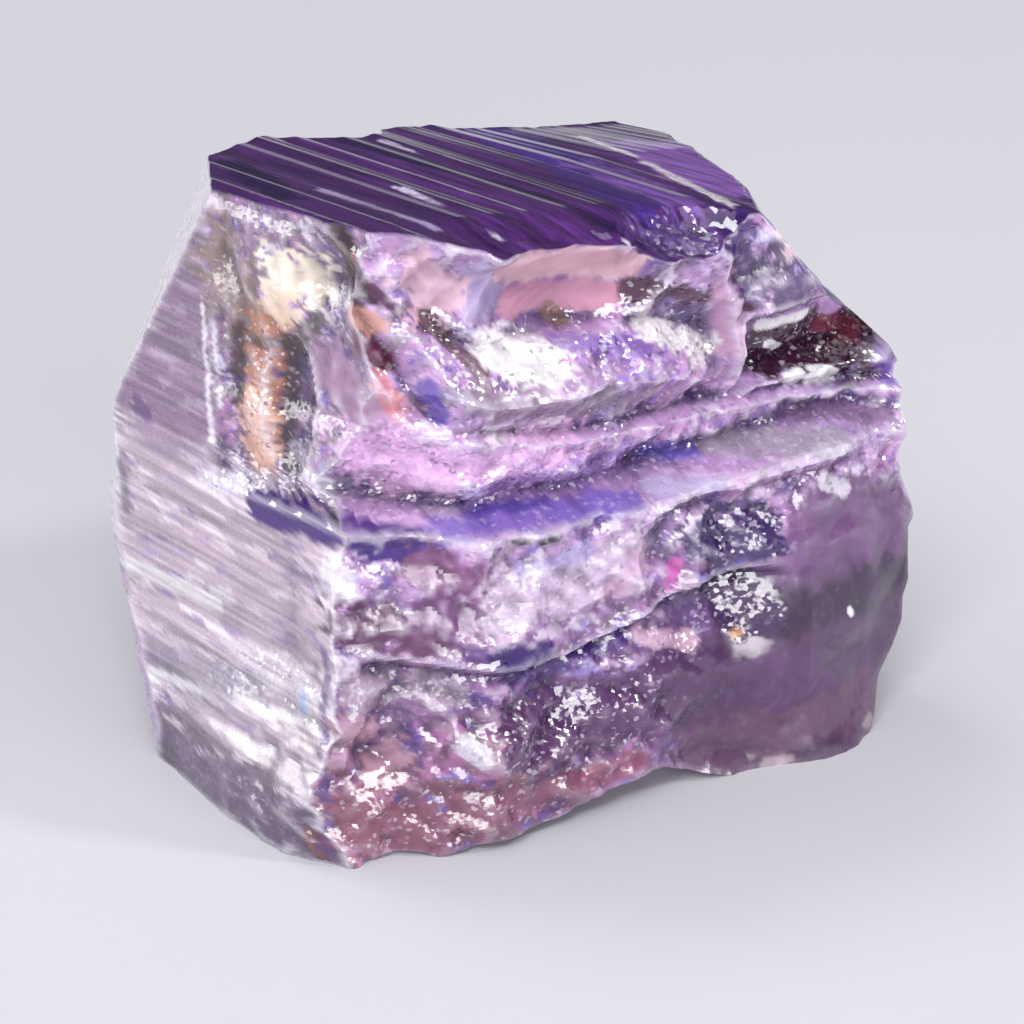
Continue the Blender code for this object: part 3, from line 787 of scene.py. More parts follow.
# %% [markdown]
# ## Colour in the crystal
#
# The colour of tanzanite is uneven. Zones of indigo, violet, pink and nearly
# colourless zoisite lie side by side, and the broken front cuts through them.
# Solid noise could scatter such colours, but the zones of this stone have their
# places: a brown column beside a cream flash, a burgundy pocket, a white lens.
# So each vertex first gets the colour of its side, then a tone for each small
# facet, and then the named zones are laid over it. The colours are kept in an
# attribute of the mesh, and the material reads them from there.

# %% Colours of the sides
NEAR_ZERO, NEAR_ONE = 0.001, 0.999
x, y, z = points.T
across, deep, up = cube_points.T
on_top = up > NEAR_ONE
on_left = (across < NEAR_ZERO) & ~on_top
on_front = (deep < NEAR_ZERO) & ~on_top & ~on_left
on_right = (across > NEAR_ONE) & ~on_top & ~on_front
on_back = (deep > NEAR_ONE) & ~on_top & ~on_left & ~on_right
on_base = ~(on_top | on_left | on_front | on_right | on_back)
broken_left = above_break(y, z) * fall(y, *BREAK_END)
growth = np.where(on_top, 1.0, np.where(on_left, 1.0 - broken_left, 0.0))

SIDE_COLOURS = (
    (on_top, "42205C"), (on_left, "C8B6C4"), (on_front, "C09ACE"),
    (on_right, "9C7CB0"), (on_back, "AA88BC"), (on_base, "8E769C"),
)
tint = np.zeros((len(points), 3))
for side, code in SIDE_COLOURS:
    tint[side] = linear(code)
print("points of each side:", [int(side.sum()) for side, _ in SIDE_COLOURS])

# %% [markdown]
# The sides aren't of one colour either. The lower front is darker than the upper
# front, dusky at the right and rosy at the foot, and the left face is mauve at
# its top and its foot. A fully saturated patch would look painted on, so these
# are washes: each is laid over what is there, with soft ends.

# %% Washes
def lay_over(colours, code, weight):
    """The colours with another laid over them, by a weight for each point."""
    return colours + (np.array(linear(code)) - colours) * weight[:, None]


def shade(colours, stops):
    """The colours made brighter or darker by some stops for each point."""
    return colours * 2.0 ** stops[:, None]


WASHES = (
    ("plum lower half", "7C5286", 0.85 * on_front * fade(z, 5.5, 9.5)),
    ("dusky lower right", "4A3050", on_front * ease(x, 8.0, 14.0) * fade(z, 5.0, 8.5)),
    ("rosy foot", "7C4C62", on_front * fade(x, 5.0, 10.0) * fade(z, 2.5, 5.5)),
    ("mauve top of the left face", "84688A", 0.9 * on_left * ease(z, 9.5, 11.5)),
    ("dusky foot of the left face", "5E4C66", on_left * fade(z, 0.8, 4.4)),
)
for _, code, weight in WASHES:
    tint = lay_over(tint, code, weight)
print("washes:", ", ".join(name for name, _, _ in WASHES))

# %% [markdown]
# Neighbouring facets differ in tone, because each sends another part of the room and of the
# crystal's inside to the eye. So these tones are painted reflections, and the white gleams among
# them are painted glints. The tones use the same nets as the relief, so they change exactly where
# the facets meet. They are held back where the break is glassy, on level steps and at the quiet
# lower right. The tones of the front follow the surface as it steps back, as if it were unrolled.

# %% Tones of the facets
def read_rows(elements, name, width, kind):
    """A property of all the vertices or edges of the mesh, one row for each."""
    flat = np.zeros(width * len(elements), dtype=kind)
    elements.foreach_get(name, flat)
    return flat.reshape(-1, width)


TONE_STOPS = 0.75
UNROLLED_SHARE = 0.9
normals = read_rows(crystal_data.vertices, "normal", 3, np.float32)
unrolled = z + UNROLLED_SHARE * np.where(on_front, y - along(FRONT_LINE, x), 0.0)
glassy_front = on_front * glassy_share(x, z)
level_steps = on_front * ease(normals[:, 2], 0.5, 0.9)
quiet_right = on_front * ease(x, 9.0, 12.5) * fade(z, 7.0, 9.0)
lower_front = on_front * fade(z, 4.5, 7.5)
# sparkle: the share of painted glints and painted edge highlights, less at the lower front
sparkle = 1.0 - 0.75 * lower_front
toned = (1.0 - 0.75 * glassy_front) * (1.0 - 0.6 * level_steps) * (1.0 - 0.8 * quiet_right)

SPLIT_FACETS = (
    (on_front, x, unrolled, *FRONT_FACETS, FRONT_FINE_FACETS[0]),
    (broken_left * on_left, y, z, *BREAK_FACETS, FRONT_FINE_FACETS[0]),
    (on_back, x, z, BACK_FACETS[1], *BACK_FINE_FACETS),
    (on_right, y, z, *RIGHT_FACETS, BACK_FINE_FACETS[0]),
    (on_base, x, y, BACK_FACETS[1], *BACK_FINE_FACETS),
)
for side, first, second, *layers in SPLIT_FACETS:
    coarse, middle, fine = (facet_tone(first, second, layer) for layer in layers)
    other = facet_tone(first, second, layers[1], 1) + 0.5 * facet_tone(first, second, layers[2], 1)
    rough = side * toned
    tint = shade(tint, TONE_STOPS * rough * (0.5 * middle + 0.5 * fine))
    for code, share, chosen in (
        # white gleams: painted glints
        ("F2ECFA", 0.70 * sparkle, middle + 0.4 * fine > 0.72),  # white gleams
        ("D08CC8", 0.45, coarse + 0.5 * fine > 0.65),  # pink
        ("988A92", 0.60, other > 0.85),  # smoky
        ("6A5CCC", 0.50, other < -0.95),  # blue
        ("472C80", 0.60, middle + 0.5 * coarse < -0.85),  # indigo
    ):
        tint = lay_over(tint, code, share * rough * chosen)
print("mean tint:", np.round(tint.mean(axis=0), 3))

# %% [markdown]
# The back and the right end have no named zones, because the picture doesn't show
# them. They get broad patches of violet and of rose instead, so that they look
# like the same stone.

# %% Patches of the hidden sides
PATCHES, PATCH_STRENGTH = Facets(4.4, 1.0, 54), 0.45
hidden = on_back | on_right
patch_tone = facet_tone(np.where(on_right, y, x), z, PATCHES)
violet_patch, rose_patch = hidden & (patch_tone > 0.25), hidden & (patch_tone < -0.45)
tint = lay_over(tint, "5E3C8C", PATCH_STRENGTH * violet_patch)
tint = lay_over(tint, "C898B4", PATCH_STRENGTH * rose_patch)
print("points in patches:", int(violet_patch.sum()), "violet,", int(rose_patch.sum()), "rose")

# %% [markdown]
# The grown faces are striped instead, along the striations: the top in violet and plum, the left
# face in greys and a painted silver sheen. The stripes are the same uneven striae as in the
# relief, used as a tone. Short bright and dark slivers on the left face come from a net that is
# drawn out along its length. The bright silver slivers are painted sheen on the striations.

# %% Stripes of the grown faces
PLUM_STRIPES = Striae(-2.0, 24.0, 0.9, 1.0, 43)
TOP_STRIPES = (
    (0.55, Striae(-2.0, 24.0, 0.5, 1.0, 41)),
    (0.35, Striae(-2.0, 24.0, 0.19, 1.0, 44)),
)
LEFT_STRIPES = (
    (0.25, Striae(-2.0, 22.0, 0.9, 1.0, 42)),
    (0.26, Striae(-2.0, 22.0, 0.22, 1.0, 45)),
)
STRIPE_LEAN = 0.05
SLIVERS, SLIVER_DRAW, SLIVER_STOPS = Facets(0.30, 1.0, 53), 0.22, 0.18


def striped(place, stripes):
    """The tone of several rows of stripes, each with its own stops."""
    return sum(stops * (2.0 * striated(place, striae) - 1.0) for stops, striae in stripes)


stripe_place = x + STRIPE_LEAN * y
grown_left = on_left * growth
sliver_tone, other_sliver_tone = (
    facet_tone(SLIVER_DRAW * y, np.where(on_top, x, z), SLIVERS, draw) for draw in (0, 1)
)
tint = lay_over(tint, "6E3C90", 0.55 * on_top * striated(stripe_place, PLUM_STRIPES))
tint = shade(tint, on_top * striped(stripe_place, TOP_STRIPES))
tint = shade(tint, grown_left * (striped(z, LEFT_STRIPES) + SLIVER_STOPS * sliver_tone))
for code, share, chosen in (
    # silver: painted sheen on the striations
    ("F6F3FA", 0.50, (sliver_tone > 0.72) * (1.0 - 0.7 * ramp(z, 9.5, 11.0))),  # silver
    ("8468AE", 0.50, (other_sliver_tone > 0.80) * (z < 10.5)),  # violet
    ("8A8490", 0.35, other_sliver_tone < -0.84),  # grey
):
    tint = lay_over(tint, code, share * grown_left * chosen)
print("mean tint with stripes:", np.round(tint.mean(axis=0), 3))

# %% [markdown]
# Light is lost in the crevices of a break and caught along its sharp edges, so both are painted
# into the tint. The skin is therefore smoothed, and each point is compared with the smoothed skin.
# Where it lies deeper the tint gets a painted shade, and where it stands out a painted highlight.
# A few rounds of smoothing find the fine edges, and many find the ledges. The bevel at the far
# left is the opposite: flat and bright with reflected light, so it gets a painted pale reflection
# wherever the skin faces its way.

# %% Painted shade in the crevices and painted reflection on the bevel
FINE_ROUNDS, LEDGE_ROUNDS = 4, 36
CREVICE_DEPTH = 0.25
BEVEL_FROM = 11.0
pairs = read_rows(crystal_data.edges, "vertices", 2, np.int32)
neighbours = np.bincount(pairs.ravel(), minlength=len(points))


def smoothed(places, rounds):
    """The points after each has moved to the middle of its neighbours, some times over."""
    for _ in range(rounds):
        sums = np.stack([
            np.bincount(pairs[:, 0], weights=places[pairs[:, 1], axis], minlength=len(places))
            + np.bincount(pairs[:, 1], weights=places[pairs[:, 0], axis], minlength=len(places))
            for axis in range(3)
        ], axis=1)
        places = sums / neighbours[:, None]
    return places


fine_skin = smoothed(points, FINE_ROUNDS)
fine_hollow, ledge_hollow = (
    np.einsum("ij,ij->i", skin_points - points, normals)
    for skin_points in (fine_skin, smoothed(fine_skin, LEDGE_ROUNDS))
)
crevice_shade = ramp(ledge_hollow, 0.0, CREVICE_DEPTH) * ~on_base
bevel_reflection = ease(normals @ np.array(BACK_BEVELS[0][0]), 0.93, 0.98) * (z > BEVEL_FROM) * ~on_top
# painted shade in the crevices, and a painted pale reflection on the bevel
tint = lay_over(tint, "452C74", 0.75 * crevice_shade)
tint = lay_over(tint, "F8F4FA", 0.85 * bevel_reflection)
print("deepest crevice, mm:", round(float(ledge_hollow.max()), 2))

# %% [markdown]
# ## Colour zones
#
# A zone reaches from one place to another and has a half width, all in millimetres. Zones are
# named for what they look like in the stone. Some are painted light rather than colour:
# highlights, glints, sheen, reflections from inside, a rim of light, and shade under the ledges.
# Each has a finish as well, which gives the frost and the grain of the surface: glassy, cloudy and
# waxy where the break is smooth, crumbly and grainy where little crystal faces glitter, satin and
# frosty where many fine steps scatter the light.

# %% Finishes and the zones of the top
# The frost and the grain of each finish
FINISHES = {
    "glassy": (0.02, 0.0), "cloudy": (0.14, 0.06), "waxy": (0.30, 0.10), "crumbly": (0.10, 0.50),
    "satin": (0.16, 0.25), "frosty": (0.35, 0.50), "grainy": (0.08, 0.85),
}
Zone = namedtuple("Zone", "name start end half_width colour strength finish")

TOP_ZONES = (
    Zone("blue back band", (14.5, 13.2, 17.0), (11.7, 1.1, 18.4), 1.3, "4E3494", 0.75, "glassy"),
    Zone("violet shoulder", (17.3, 8.3, 17.2), (15.5, 1.1, 18.0), 1.6, "9A6CC4", 0.9, "glassy"),
    Zone("lilac sheen", (13.4, 6.0, 17.9), (12.7, 0.4, 18.4), 0.9, "8660B2", 0.7, "glassy"),
    Zone("dark corner stripe", (2.9, 10.1, 18.9), (1.7, 5.5, 19.3), 0.6, "241448", 0.9, "glassy"),
    Zone("dark middle stripe", (8.3, 11.9, 18.2), (9.3, -0.7, 18.3), 0.5, "25124E", 0.8, "glassy"),
    # These light streaks are painted reflections on the glossy top.
    Zone("broad painted lilac highlight", (3.3, 5.9, 19.1), (3.5, 0.3, 19.3), 0.28, "B0A0C8", 0.9, "frosty"),
    Zone("painted sparkling highlight", (5.7, 5.2, 18.9), (5.1, -0.6, 18.9), 0.22, "E6D8F6", 0.9, "grainy"),
    Zone("thin painted highlight", (9.5, 11.5, 18.0), (8.9, -1.8, 18.4), 0.16, "E8DCF4", 0.95, "satin"),
    Zone("wide painted highlight", (16.7, 10.8, 17.0), (13.9, -0.5, 18.2), 0.26, "F4F0F8", 1.0, "satin"),
    Zone("chipped margin", (10.5, -0.4, 17.9), (12.6, -1.4, 17.5), 0.8, "6A5290", 0.7, "grainy"),
    Zone("white corner", (14.9, -1.7, 17.7), (15.2, -1.6, 17.0), 0.5, "F0D6D8", 0.85, "glassy"),
    Zone("dark facet", (13.5, -1.5, 17.9), (13.6, -1.4, 16.2), 0.9, "3E2268", 0.92, "glassy"),
)
print("zones of the top:", len(TOP_ZONES))

# %% [markdown]
# The upper left corner holds the strangest colours: a painted cream highlight over a brown column,
# and a dark red wedge beside them. They are painted reflections from inside the crystal. The lower
# left face is silvery, with long pale streaks of painted sheen. Painted sparkle and glints lie on
# it, and painted shadow lies along the dark violet shelf.

# %% Zones of the bevel and the left face
LEFT_ZONES = (
    Zone("inner bevel rib", (0.5, 7.6, 19.0), (0.2, 11.6, 12.6), 0.16, "8A7CA2", 0.85, "satin"),
    Zone("outer bevel rib", (1.0, 9.2, 18.6), (0.4, 11.8, 13.4), 0.13, "A092B8", 0.8, "satin"),
    # painted silver sheen
    Zone("back facet with painted sheen", (-0.2, 13.2, 11.0), (-0.2, 13.2, 6.0), 0.7, "E2E0EA", 0.9, "glassy"),
    Zone("dusky triangle", (0.1, 12.6, 9.3), (0.1, 12.5, 7.4), 0.45, "6E6078", 0.85, "glassy"),
    Zone("purple spot", (0.1, 11.5, 11.4), (0.1, 10.9, 11.2), 0.35, "5A3D78", 0.8, "glassy"),
    Zone("grey beige area", (0.4, 6.9, 17.5), (0.5, 5.9, 15.8), 1.4, "8E7C6E", 0.8, "satin"),
    # painted highlight, cream
    Zone("painted cream highlight", (0.6, 4.2, 17.3), (1.0, 2.9, 17.6), 0.92, "FFF2DE", 1.0, "satin"),
    Zone("painted highlight, its foot", (0.6, 4.8, 16.0), (0.7, 3.9, 16.6), 0.65, "F8DCC0", 0.95, "satin"),
    Zone("grey green wedge", (1.1, 2.7, 16.6), (1.0, 3.8, 15.3), 0.4, "57524A", 0.85, "satin"),
    Zone("brown column", (0.5, 5.1, 15.2), (0.4, 5.1, 13.0), 1.1, "B67E62", 1.0, "grainy"),
    # salmon colour of the column with painted glints
    Zone("column foot with painted salmon glints", (0.4, 5.2, 13.2), (0.6, 5.3, 11.6), 0.9, "F6C4AC", 0.95, "grainy"),
    Zone("left of the column", (0.4, 6.1, 15.3), (0.3, 6.2, 13.2), 0.38, "3C2428", 0.9, "satin"),
    Zone("right of the column", (1.0, 4.2, 15.4), (0.8, 4.1, 11.4), 0.40, "3E2630", 0.9, "satin"),
    Zone("bar on the column", (0.5, 5.4, 15.1), (1.0, 4.3, 15.4), 0.3, "4E362C", 0.85, "satin"),
    Zone("lilac grey facet", (1.1, 2.3, 15.0), (1.8, 0.5, 13.5), 1.1, "AC88A8", 0.85, "glassy"),
    Zone("dark red wedge", (1.05, 1.7, 19.3), (1.3, 1.0, 17.7), 0.62, "360A22", 1.0, "glassy"),
    Zone("arm of the wedge", (1.4, 0.7, 18.0), (2.1, 0.2, 17.2), 0.25, "54204A", 0.95, "glassy"),
    # painted glints
    Zone("painted glints, ember", (1.3, 1.2, 18.9), (1.6, 0.8, 17.8), 0.22, "A85C3C", 0.8, "grainy"),
    Zone("peach triangle", (1.1, 1.1, 17.1), (1.6, 0.8, 16.8), 0.45, "E2A592", 0.9, "glassy"),
    Zone("dark red tablet", (1.1, 0.8, 16.3), (1.9, 0.6, 15.6), 0.38, "62203A", 0.95, "glassy"),
    Zone("salmon vein", (1.5, 0.4, 15.2), (2.0, 0.2, 14.1), 0.42, "D8868C", 0.85, "satin"),
    Zone("blue violet patch", (2.7, -0.3, 14.9), (3.1, -0.4, 14.0), 0.4, "6450B8", 0.85, "glassy"),
    # painted glints
    Zone("painted sparkle, violet", (0.1, 7.7, 10.1), (0.6, 4.0, 10.9), 0.45, "F0E6FC", 0.9, "grainy"),
    Zone("painted sparkle, white", (1.0, 3.8, 12.0), (0.8, 2.1, 11.1), 0.4, "EAE2F6", 0.8, "grainy"),
    # dark violet of the shelf, with painted shadow under the broken corner
    Zone("violet shelf and painted shadow, left", (0.1, 5.2, 10.1), (0.1, 1.0, 10.6), 0.62, "3C1672", 1.0, "glassy"),
    Zone("violet shelf and painted shadow, right", (0.1, 1.0, 10.6), (2.6, -0.7, 9.8), 0.68, "3A1478", 1.0, "glassy"),
    Zone("black grain", (0.5, 1.3, 10.9), (0.5, 1.1, 10.9), 0.22, "1C181E", 0.95, "satin"),
    Zone("left scratch", (0.2, 7.7, 16.6), (0.1, 7.3, 11.4), 0.13, "F6F2FC", 0.9, "satin"),
    Zone("right scratch", (0.2, 7.1, 15.4), (0.1, 6.8, 12.2), 0.11, "F6F2FC", 0.8, "satin"),
    Zone("grey stripe", (-0.2, 10.7, 3.4), (-0.2, 4.4, 4.3), 0.5, "8C8696", 0.75, "satin"),
    # painted sheen on the striated face
    Zone("painted sheen streak", (-0.2, 10.7, 2.7), (-0.3, 2.1, 4.1), 0.22, "EEEAF2", 0.85, "satin"),
    # painted sheen on the striated face
    Zone("upper painted sheen streak", (0.1, 12.1, 5.9), (0.1, 7.0, 6.1), 0.26, "F2F0F4", 0.8, "satin"),
    Zone("lilac foot", (-0.8, 7.6, 0.8), (-1.0, 1.4, 1.0), 1.0, "64526E", 0.8, "satin"),
    Zone("white clump", (-0.2, 4.3, 5.2), (-0.4, 1.5, 4.9), 0.9, "E4DEE8", 0.65, "grainy"),
    # painted glint
    Zone("painted gleam, blue", (-0.4, 1.9, 5.0), (-0.3, 1.9, 4.6), 0.22, "96C4FA", 0.9, "glassy"),
    Zone("amber grains", (-0.8, 1.0, 1.0), (-0.6, 0.8, 0.5), 0.3, "8A5634", 0.85, "grainy"),
    Zone("dark arris", (-0.2, 0.8, 6.7), (-0.5, 0.7, 0.6), 0.28, "513480", 0.75, "satin"),
)
print("zones of the left:", len(LEFT_ZONES))

# %% [markdown]
# Above the shelf the front goes from a pink scoop and grains with painted glints at the left to
# the burgundy pocket at the right, which has hard painted white highlights on its rim.

# %% Zones of the upper front
UPPER_ZONES = (
    Zone("lilac window", (4.0, -1.0, 18.2), (4.8, -0.3, 16.9), 0.8, "C0AEDC", 0.85, "glassy"),
    Zone("pale pink window", (2.4, 0.0, 18.6), (3.4, 0.1, 17.3), 0.95, "FFD2E6", 0.95, "glassy"),
    Zone("pink scoop", (5.8, -0.9, 18.0), (9.5, -0.9, 17.5), 1.15, "FFD2DA", 1.0, "glassy"),
    Zone("floor of the scoop", (5.9, 0.0, 16.8), (9.3, -0.2, 16.3), 0.6, "E09CB6", 0.9, "glassy"),
    Zone("olive spot", (7.5, 0.2, 16.1), (7.8, 0.0, 15.8), 0.35, "86684C", 0.8, "satin"),
    Zone("olive vein", (3.1, 0.3, 16.8), (4.2, -1.0, 15.2), 0.35, "62443E", 0.85, "grainy"),
    # painted glints
    Zone("grains with painted glints", (4.9, -0.6, 15.6), (6.6, -1.1, 14.8), 0.95, "FFFAFF", 1.0, "grainy"),
    Zone("violet grains", (7.3, -0.7, 15.3), (10.0, -1.1, 14.8), 0.5, "8A68C0", 0.8, "grainy"),
    Zone("maroon hollow", (10.0, -0.6, 16.5), (12.5, -0.9, 15.9), 0.6, "4C1C34", 0.92, "grainy"),
    # painted glints
    Zone("folds with painted glints", (10.4, -0.6, 15.2), (13.0, -0.7, 14.0), 0.62, "FFF8FA", 0.95, "grainy"),
    Zone("pink rib", (12.9, -1.4, 16.4), (14.5, -0.2, 12.4), 0.55, "CC9CC4", 0.9, "glassy"),
    Zone("grey brown band", (3.8, -1.5, 14.4), (9.5, -1.1, 13.1), 0.7, "978694", 0.75, "satin"),
    Zone("lilac right facet", (14.2, -1.4, 16.2), (17.2, -0.9, 15.2), 0.9, "584470", 0.92, "waxy"),
    Zone("dark red line", (13.8, -1.3, 15.3), (18.0, -0.8, 14.2), 0.2, "541F36", 0.9, "glassy"),
    Zone("burgundy pocket", (15.9, 0.6, 13.3), (19.6, 0.3, 12.2), 1.35, "300A26", 1.0, "crumbly"),
    Zone("red brown glow", (18.4, 1.0, 13.3), (19.6, 0.7, 12.7), 0.5, "7C3440", 0.75, "glassy"),
    # painted highlights in and under the pocket
    Zone("upper painted highlight waves", (15.5, 0.0, 14.0), (17.4, 0.3, 13.9), 0.27, "FFFFFF", 1.0, "satin"),
    Zone("lower painted highlight waves", (16.0, 0.2, 13.2), (16.7, 0.6, 12.8), 0.22, "FFFFFF", 1.0, "satin"),
    Zone("left painted highlight blob", (16.9, 0.35, 11.8), (17.3, 0.35, 11.8), 0.30, "FFFFFF", 1.0, "satin"),
    Zone("right painted highlight blob", (17.9, 0.4, 11.7), (18.8, 0.45, 11.55), 0.34, "FFFFFF", 1.0, "satin"),
    Zone("pocket rim", (20.2, -0.3, 12.2), (20.7, -0.2, 11.1), 0.35, "7A58B4", 0.85, "glassy"),
    # painted highlight along the rim
    Zone("painted highlight line", (18.2, 0.1, 11.05), (20.4, -0.3, 10.85), 0.13, "F0E8F4", 0.9, "satin"),
)
print("zones of the upper front:", len(UPPER_ZONES))

# %% [markdown]
# The shelf is where most of the light comes back: pink and violet glitter with painted glints,
# blue and lilac level steps, and mauve windows just below them. A painted shadow line runs under
# its lip.

# %% Zones of the shelf
SHELF_ZONES = (
    Zone("mauve ledge", (17.2, 0.0, 10.7), (20.2, -0.6, 10.2), 0.5, "78587F", 0.85, "satin"),
    Zone("frosty ledge", (13.7, -0.4, 10.6), (17.7, -1.5, 10.1), 0.75, "A698AE", 0.9, "frosty"),
    Zone("pink glitter", (1.9, 1.0, 12.6), (6.7, -0.8, 12.0), 1.5, "F4C0F4", 0.92, "grainy"),
    Zone("violet glitter", (4.4, -0.6, 11.2), (9.9, -0.3, 11.1), 0.6, "A27CD0", 0.75, "grainy"),
    # painted glints
    Zone("edge of painted glints", (4.6, -1.0, 13.2), (7.2, -1.1, 12.9), 0.35, "FFF4FF", 0.85, "grainy"),
    Zone("blue oval", (10.9, 0.0, 11.0), (12.6, -0.4, 10.6), 0.4, "7264D0", 0.85, "glassy"),
    Zone("pale lilac lens", (10.5, -1.0, 10.1), (12.6, -1.6, 9.8), 0.4, "C2B6E2", 0.85, "satin"),
    Zone("blue violet shelf", (2.9, -0.8, 10.4), (9.4, -1.5, 10.1), 0.65, "7256BA", 0.9, "satin"),
    Zone("deep blue line", (4.3, -0.5, 10.7), (6.7, -0.8, 10.5), 0.28, "4A36A4", 0.85, "glassy"),
    # painted shadow
    Zone("painted shadow under the shelf lip", (4.9, -1.7, 9.95), (6.4, -1.9, 9.75), 0.16, "17131A", 0.95, "satin"),
    Zone("mauve window", (2.5, -0.7, 9.3), (3.7, -1.1, 8.2), 1.1, "7E4678", 0.97, "waxy"),
    Zone("white slivers", (-0.2, 0.8, 9.3), (0.0, 0.1, 8.9), 0.5, "ECE6F8", 0.8, "frosty"),
    Zone("maroon facet", (-0.2, 0.3, 8.0), (2.6, -1.0, 7.2), 0.75, "5A2854", 0.97, "waxy"),
    Zone("mauve facet", (2.4, -1.0, 7.9), (4.0, -1.3, 7.5), 0.8, "704076", 0.97, "waxy"),
)
print("zones of the shelf:", len(SHELF_ZONES))

# %% [markdown]
# The lower front has a frosty lens in its middle, crumbly indigo and plum hollows, a rosy foot,
# and at the right a body that is clear and cloudy in turns. Painted shade lies under its ledge,
# painted glints lie at the right, and a painted rim of light runs along the foot.

# %% Zones of the lower front
LOWER_ZONES = (
    Zone("frosty lens", (4.9, -1.3, 7.9), (9.4, -1.7, 8.1), 1.25, "CEB8D4", 0.95, "frosty"),
    Zone("blue lens top", (5.4, -1.4, 8.9), (7.6, -1.6, 9.0), 0.4, "A49CDC", 0.6, "frosty"),
    Zone("pink lens side", (8.4, -1.7, 7.4), (9.7, -1.7, 8.2), 0.5, "E6B4DA", 0.6, "frosty"),
    Zone("magenta spot", (11.3, -1.2, 7.4), (11.2, -1.2, 7.0), 0.35, "E874CC", 0.9, "glassy"),
    Zone("indigo hollow", (12.1, -1.5, 8.2), (14.6, -1.5, 7.7), 1.0, "281452", 0.93, "crumbly"),
    Zone("blue streak", (12.1, -1.6, 7.0), (13.5, -1.5, 7.0), 0.2, "5848D4", 0.85, "glassy"),
    # painted shade under the lower ledge
    Zone("painted shade under the ledge, left", (4.4, -1.9, 6.2), (5.8, -2.0, 6.2), 0.55, "340E68", 1.0, "glassy"),
    Zone("painted shade under the ledge, right", (6.9, -1.1, 5.4), (7.9, -1.3, 5.7), 0.5, "40208A", 0.95, "glassy"),
    Zone("painted shade line under the ledge", (3.2, -0.9, 5.0), (9.1, -1.4, 5.6), 0.5, "4C2C7C", 0.8, "satin"),
    Zone("grey lumps", (0.1, 0.0, 5.8), (2.8, -0.8, 5.2), 0.85, "A28CA2", 0.85, "frosty"),
    Zone("rippled pink facet", (0.0, -0.2, 4.5), (1.5, -0.1, 3.0), 0.9, "B4889A", 0.85, "glassy"),
    Zone("pink foot, left", (0.1, 0.1, 1.5), (2.6, -1.1, 0.9), 1.1, "8C5268", 0.85, "crumbly"),
    Zone("pink foot, right", (3.3, -1.5, 1.4), (6.8, -2.0, 1.5), 0.9, "844E66", 0.8, "crumbly"),
    Zone("rose edge", (7.7, -1.8, 1.5), (9.6, -1.8, 1.6), 0.5, "9A5670", 0.8, "satin"),
    Zone("pale lump", (3.2, -1.5, 3.7), (3.6, -1.8, 3.2), 0.4, "D6D2E0", 0.85, "frosty"),
    Zone("plum middle", (5.6, -1.8, 3.4), (11.0, -1.6, 3.6), 1.5, "563460", 0.92, "crumbly"),
    Zone("pink crumbs", (9.8, -1.5, 5.6), (11.8, -1.5, 4.9), 0.4, "DCB4CC", 0.8, "grainy"),
    Zone("mauve body", (11.6, -1.7, 3.2), (18.3, -1.5, 3.0), 1.5, "52365A", 0.75, "cloudy"),
    Zone("maroon band", (11.8, -1.5, 2.0), (16.9, -2.2, 1.5), 0.35, "5A2858", 0.75, "cloudy"),
    Zone("violet band", (14.6, -2.0, 5.2), (20.7, -0.6, 4.6), 1.0, "2C1636", 0.88, "cloudy"),
    Zone("clear right foot", (12.4, -1.8, 1.0), (19.0, -1.8, 1.2), 1.0, "644660", 0.85, "cloudy"),
    # painted rim of light from below
    Zone("painted rim light at the foot", (14.5, -2.0, 0.1), (18.8, -1.8, 0.5), 0.26, "C8B4BE", 0.55, "cloudy"),
    Zone("lilac corner", (16.6, -1.6, 8.0), (20.4, -0.7, 6.8), 1.6, "6A4872", 0.85, "cloudy"),
    # painted glints
    Zone("painted glints, white", (16.9, -1.5, 9.0), (18.0, -1.3, 8.4), 0.3, "F0ECF8", 0.8, "grainy"),
    # white spark: a painted glint
    Zone("white spark", (18.0, -1.7, 4.4), (18.1, -1.7, 4.3), 0.17, "FFFFFF", 1.0, "glassy"),
    Zone("pale patch", (11.6, -1.0, 6.4), (12.4, -1.1, 5.7), 0.8, "7A5E94", 0.8, "crumbly"),
    Zone("cloudy hollow", (12.9, -1.3, 6.5), (14.2, -1.6, 5.3), 1.1, "442C54", 0.92, "crumbly"),
    Zone("orange grain", (13.5, -1.5, 4.7), (13.6, -1.5, 4.7), 0.2, "C08848", 0.9, "satin"),
)
SIDE_ZONES = LEFT_ZONES + UPPER_ZONES + SHELF_ZONES + LOWER_ZONES
print("zones in all:", len(TOP_ZONES) + len(SIDE_ZONES))

# %% [markdown]
# A zone seen through a shattered skin is itself shattered, because every little
# facet bends the light from another place. So each facet reads the zones a little
# to the side of where it is. On the grown faces the shift runs along the
# striations, which draws the edges of the zones out into slivers. Small zones are
# shifted less, or they would be torn apart.

# %% Shatter the zones
ZONE_EDGE = Facets(0.55, 0.20, 51)
SHATTER = Facets(0.42, 0.42, 52)
CORE_SHARE = 0.72
FULL_SHIFT_HALF_WIDTH = 0.9

shatter_across = np.where(on_left | on_right, y, x)
shatter_up = np.where(on_base, y, unrolled)
shattered = SHATTER.height * np.stack(
    [facet_tone(shatter_across, shatter_up, SHATTER, draw) for draw in range(3)], axis=1
)
slivered = sliver_tone[:, None] * (0.0, SLIVERS.height, 0.0)
calm = (1.0 - 0.75 * glassy_front) * (1.0 - 0.7 * level_steps)
shift = np.where(growth[:, None] > 0.5, slivered, shattered * calm[:, None])
edge_waver = faceted(x + 0.8 * y, z + 0.5 * y, ZONE_EDGE)


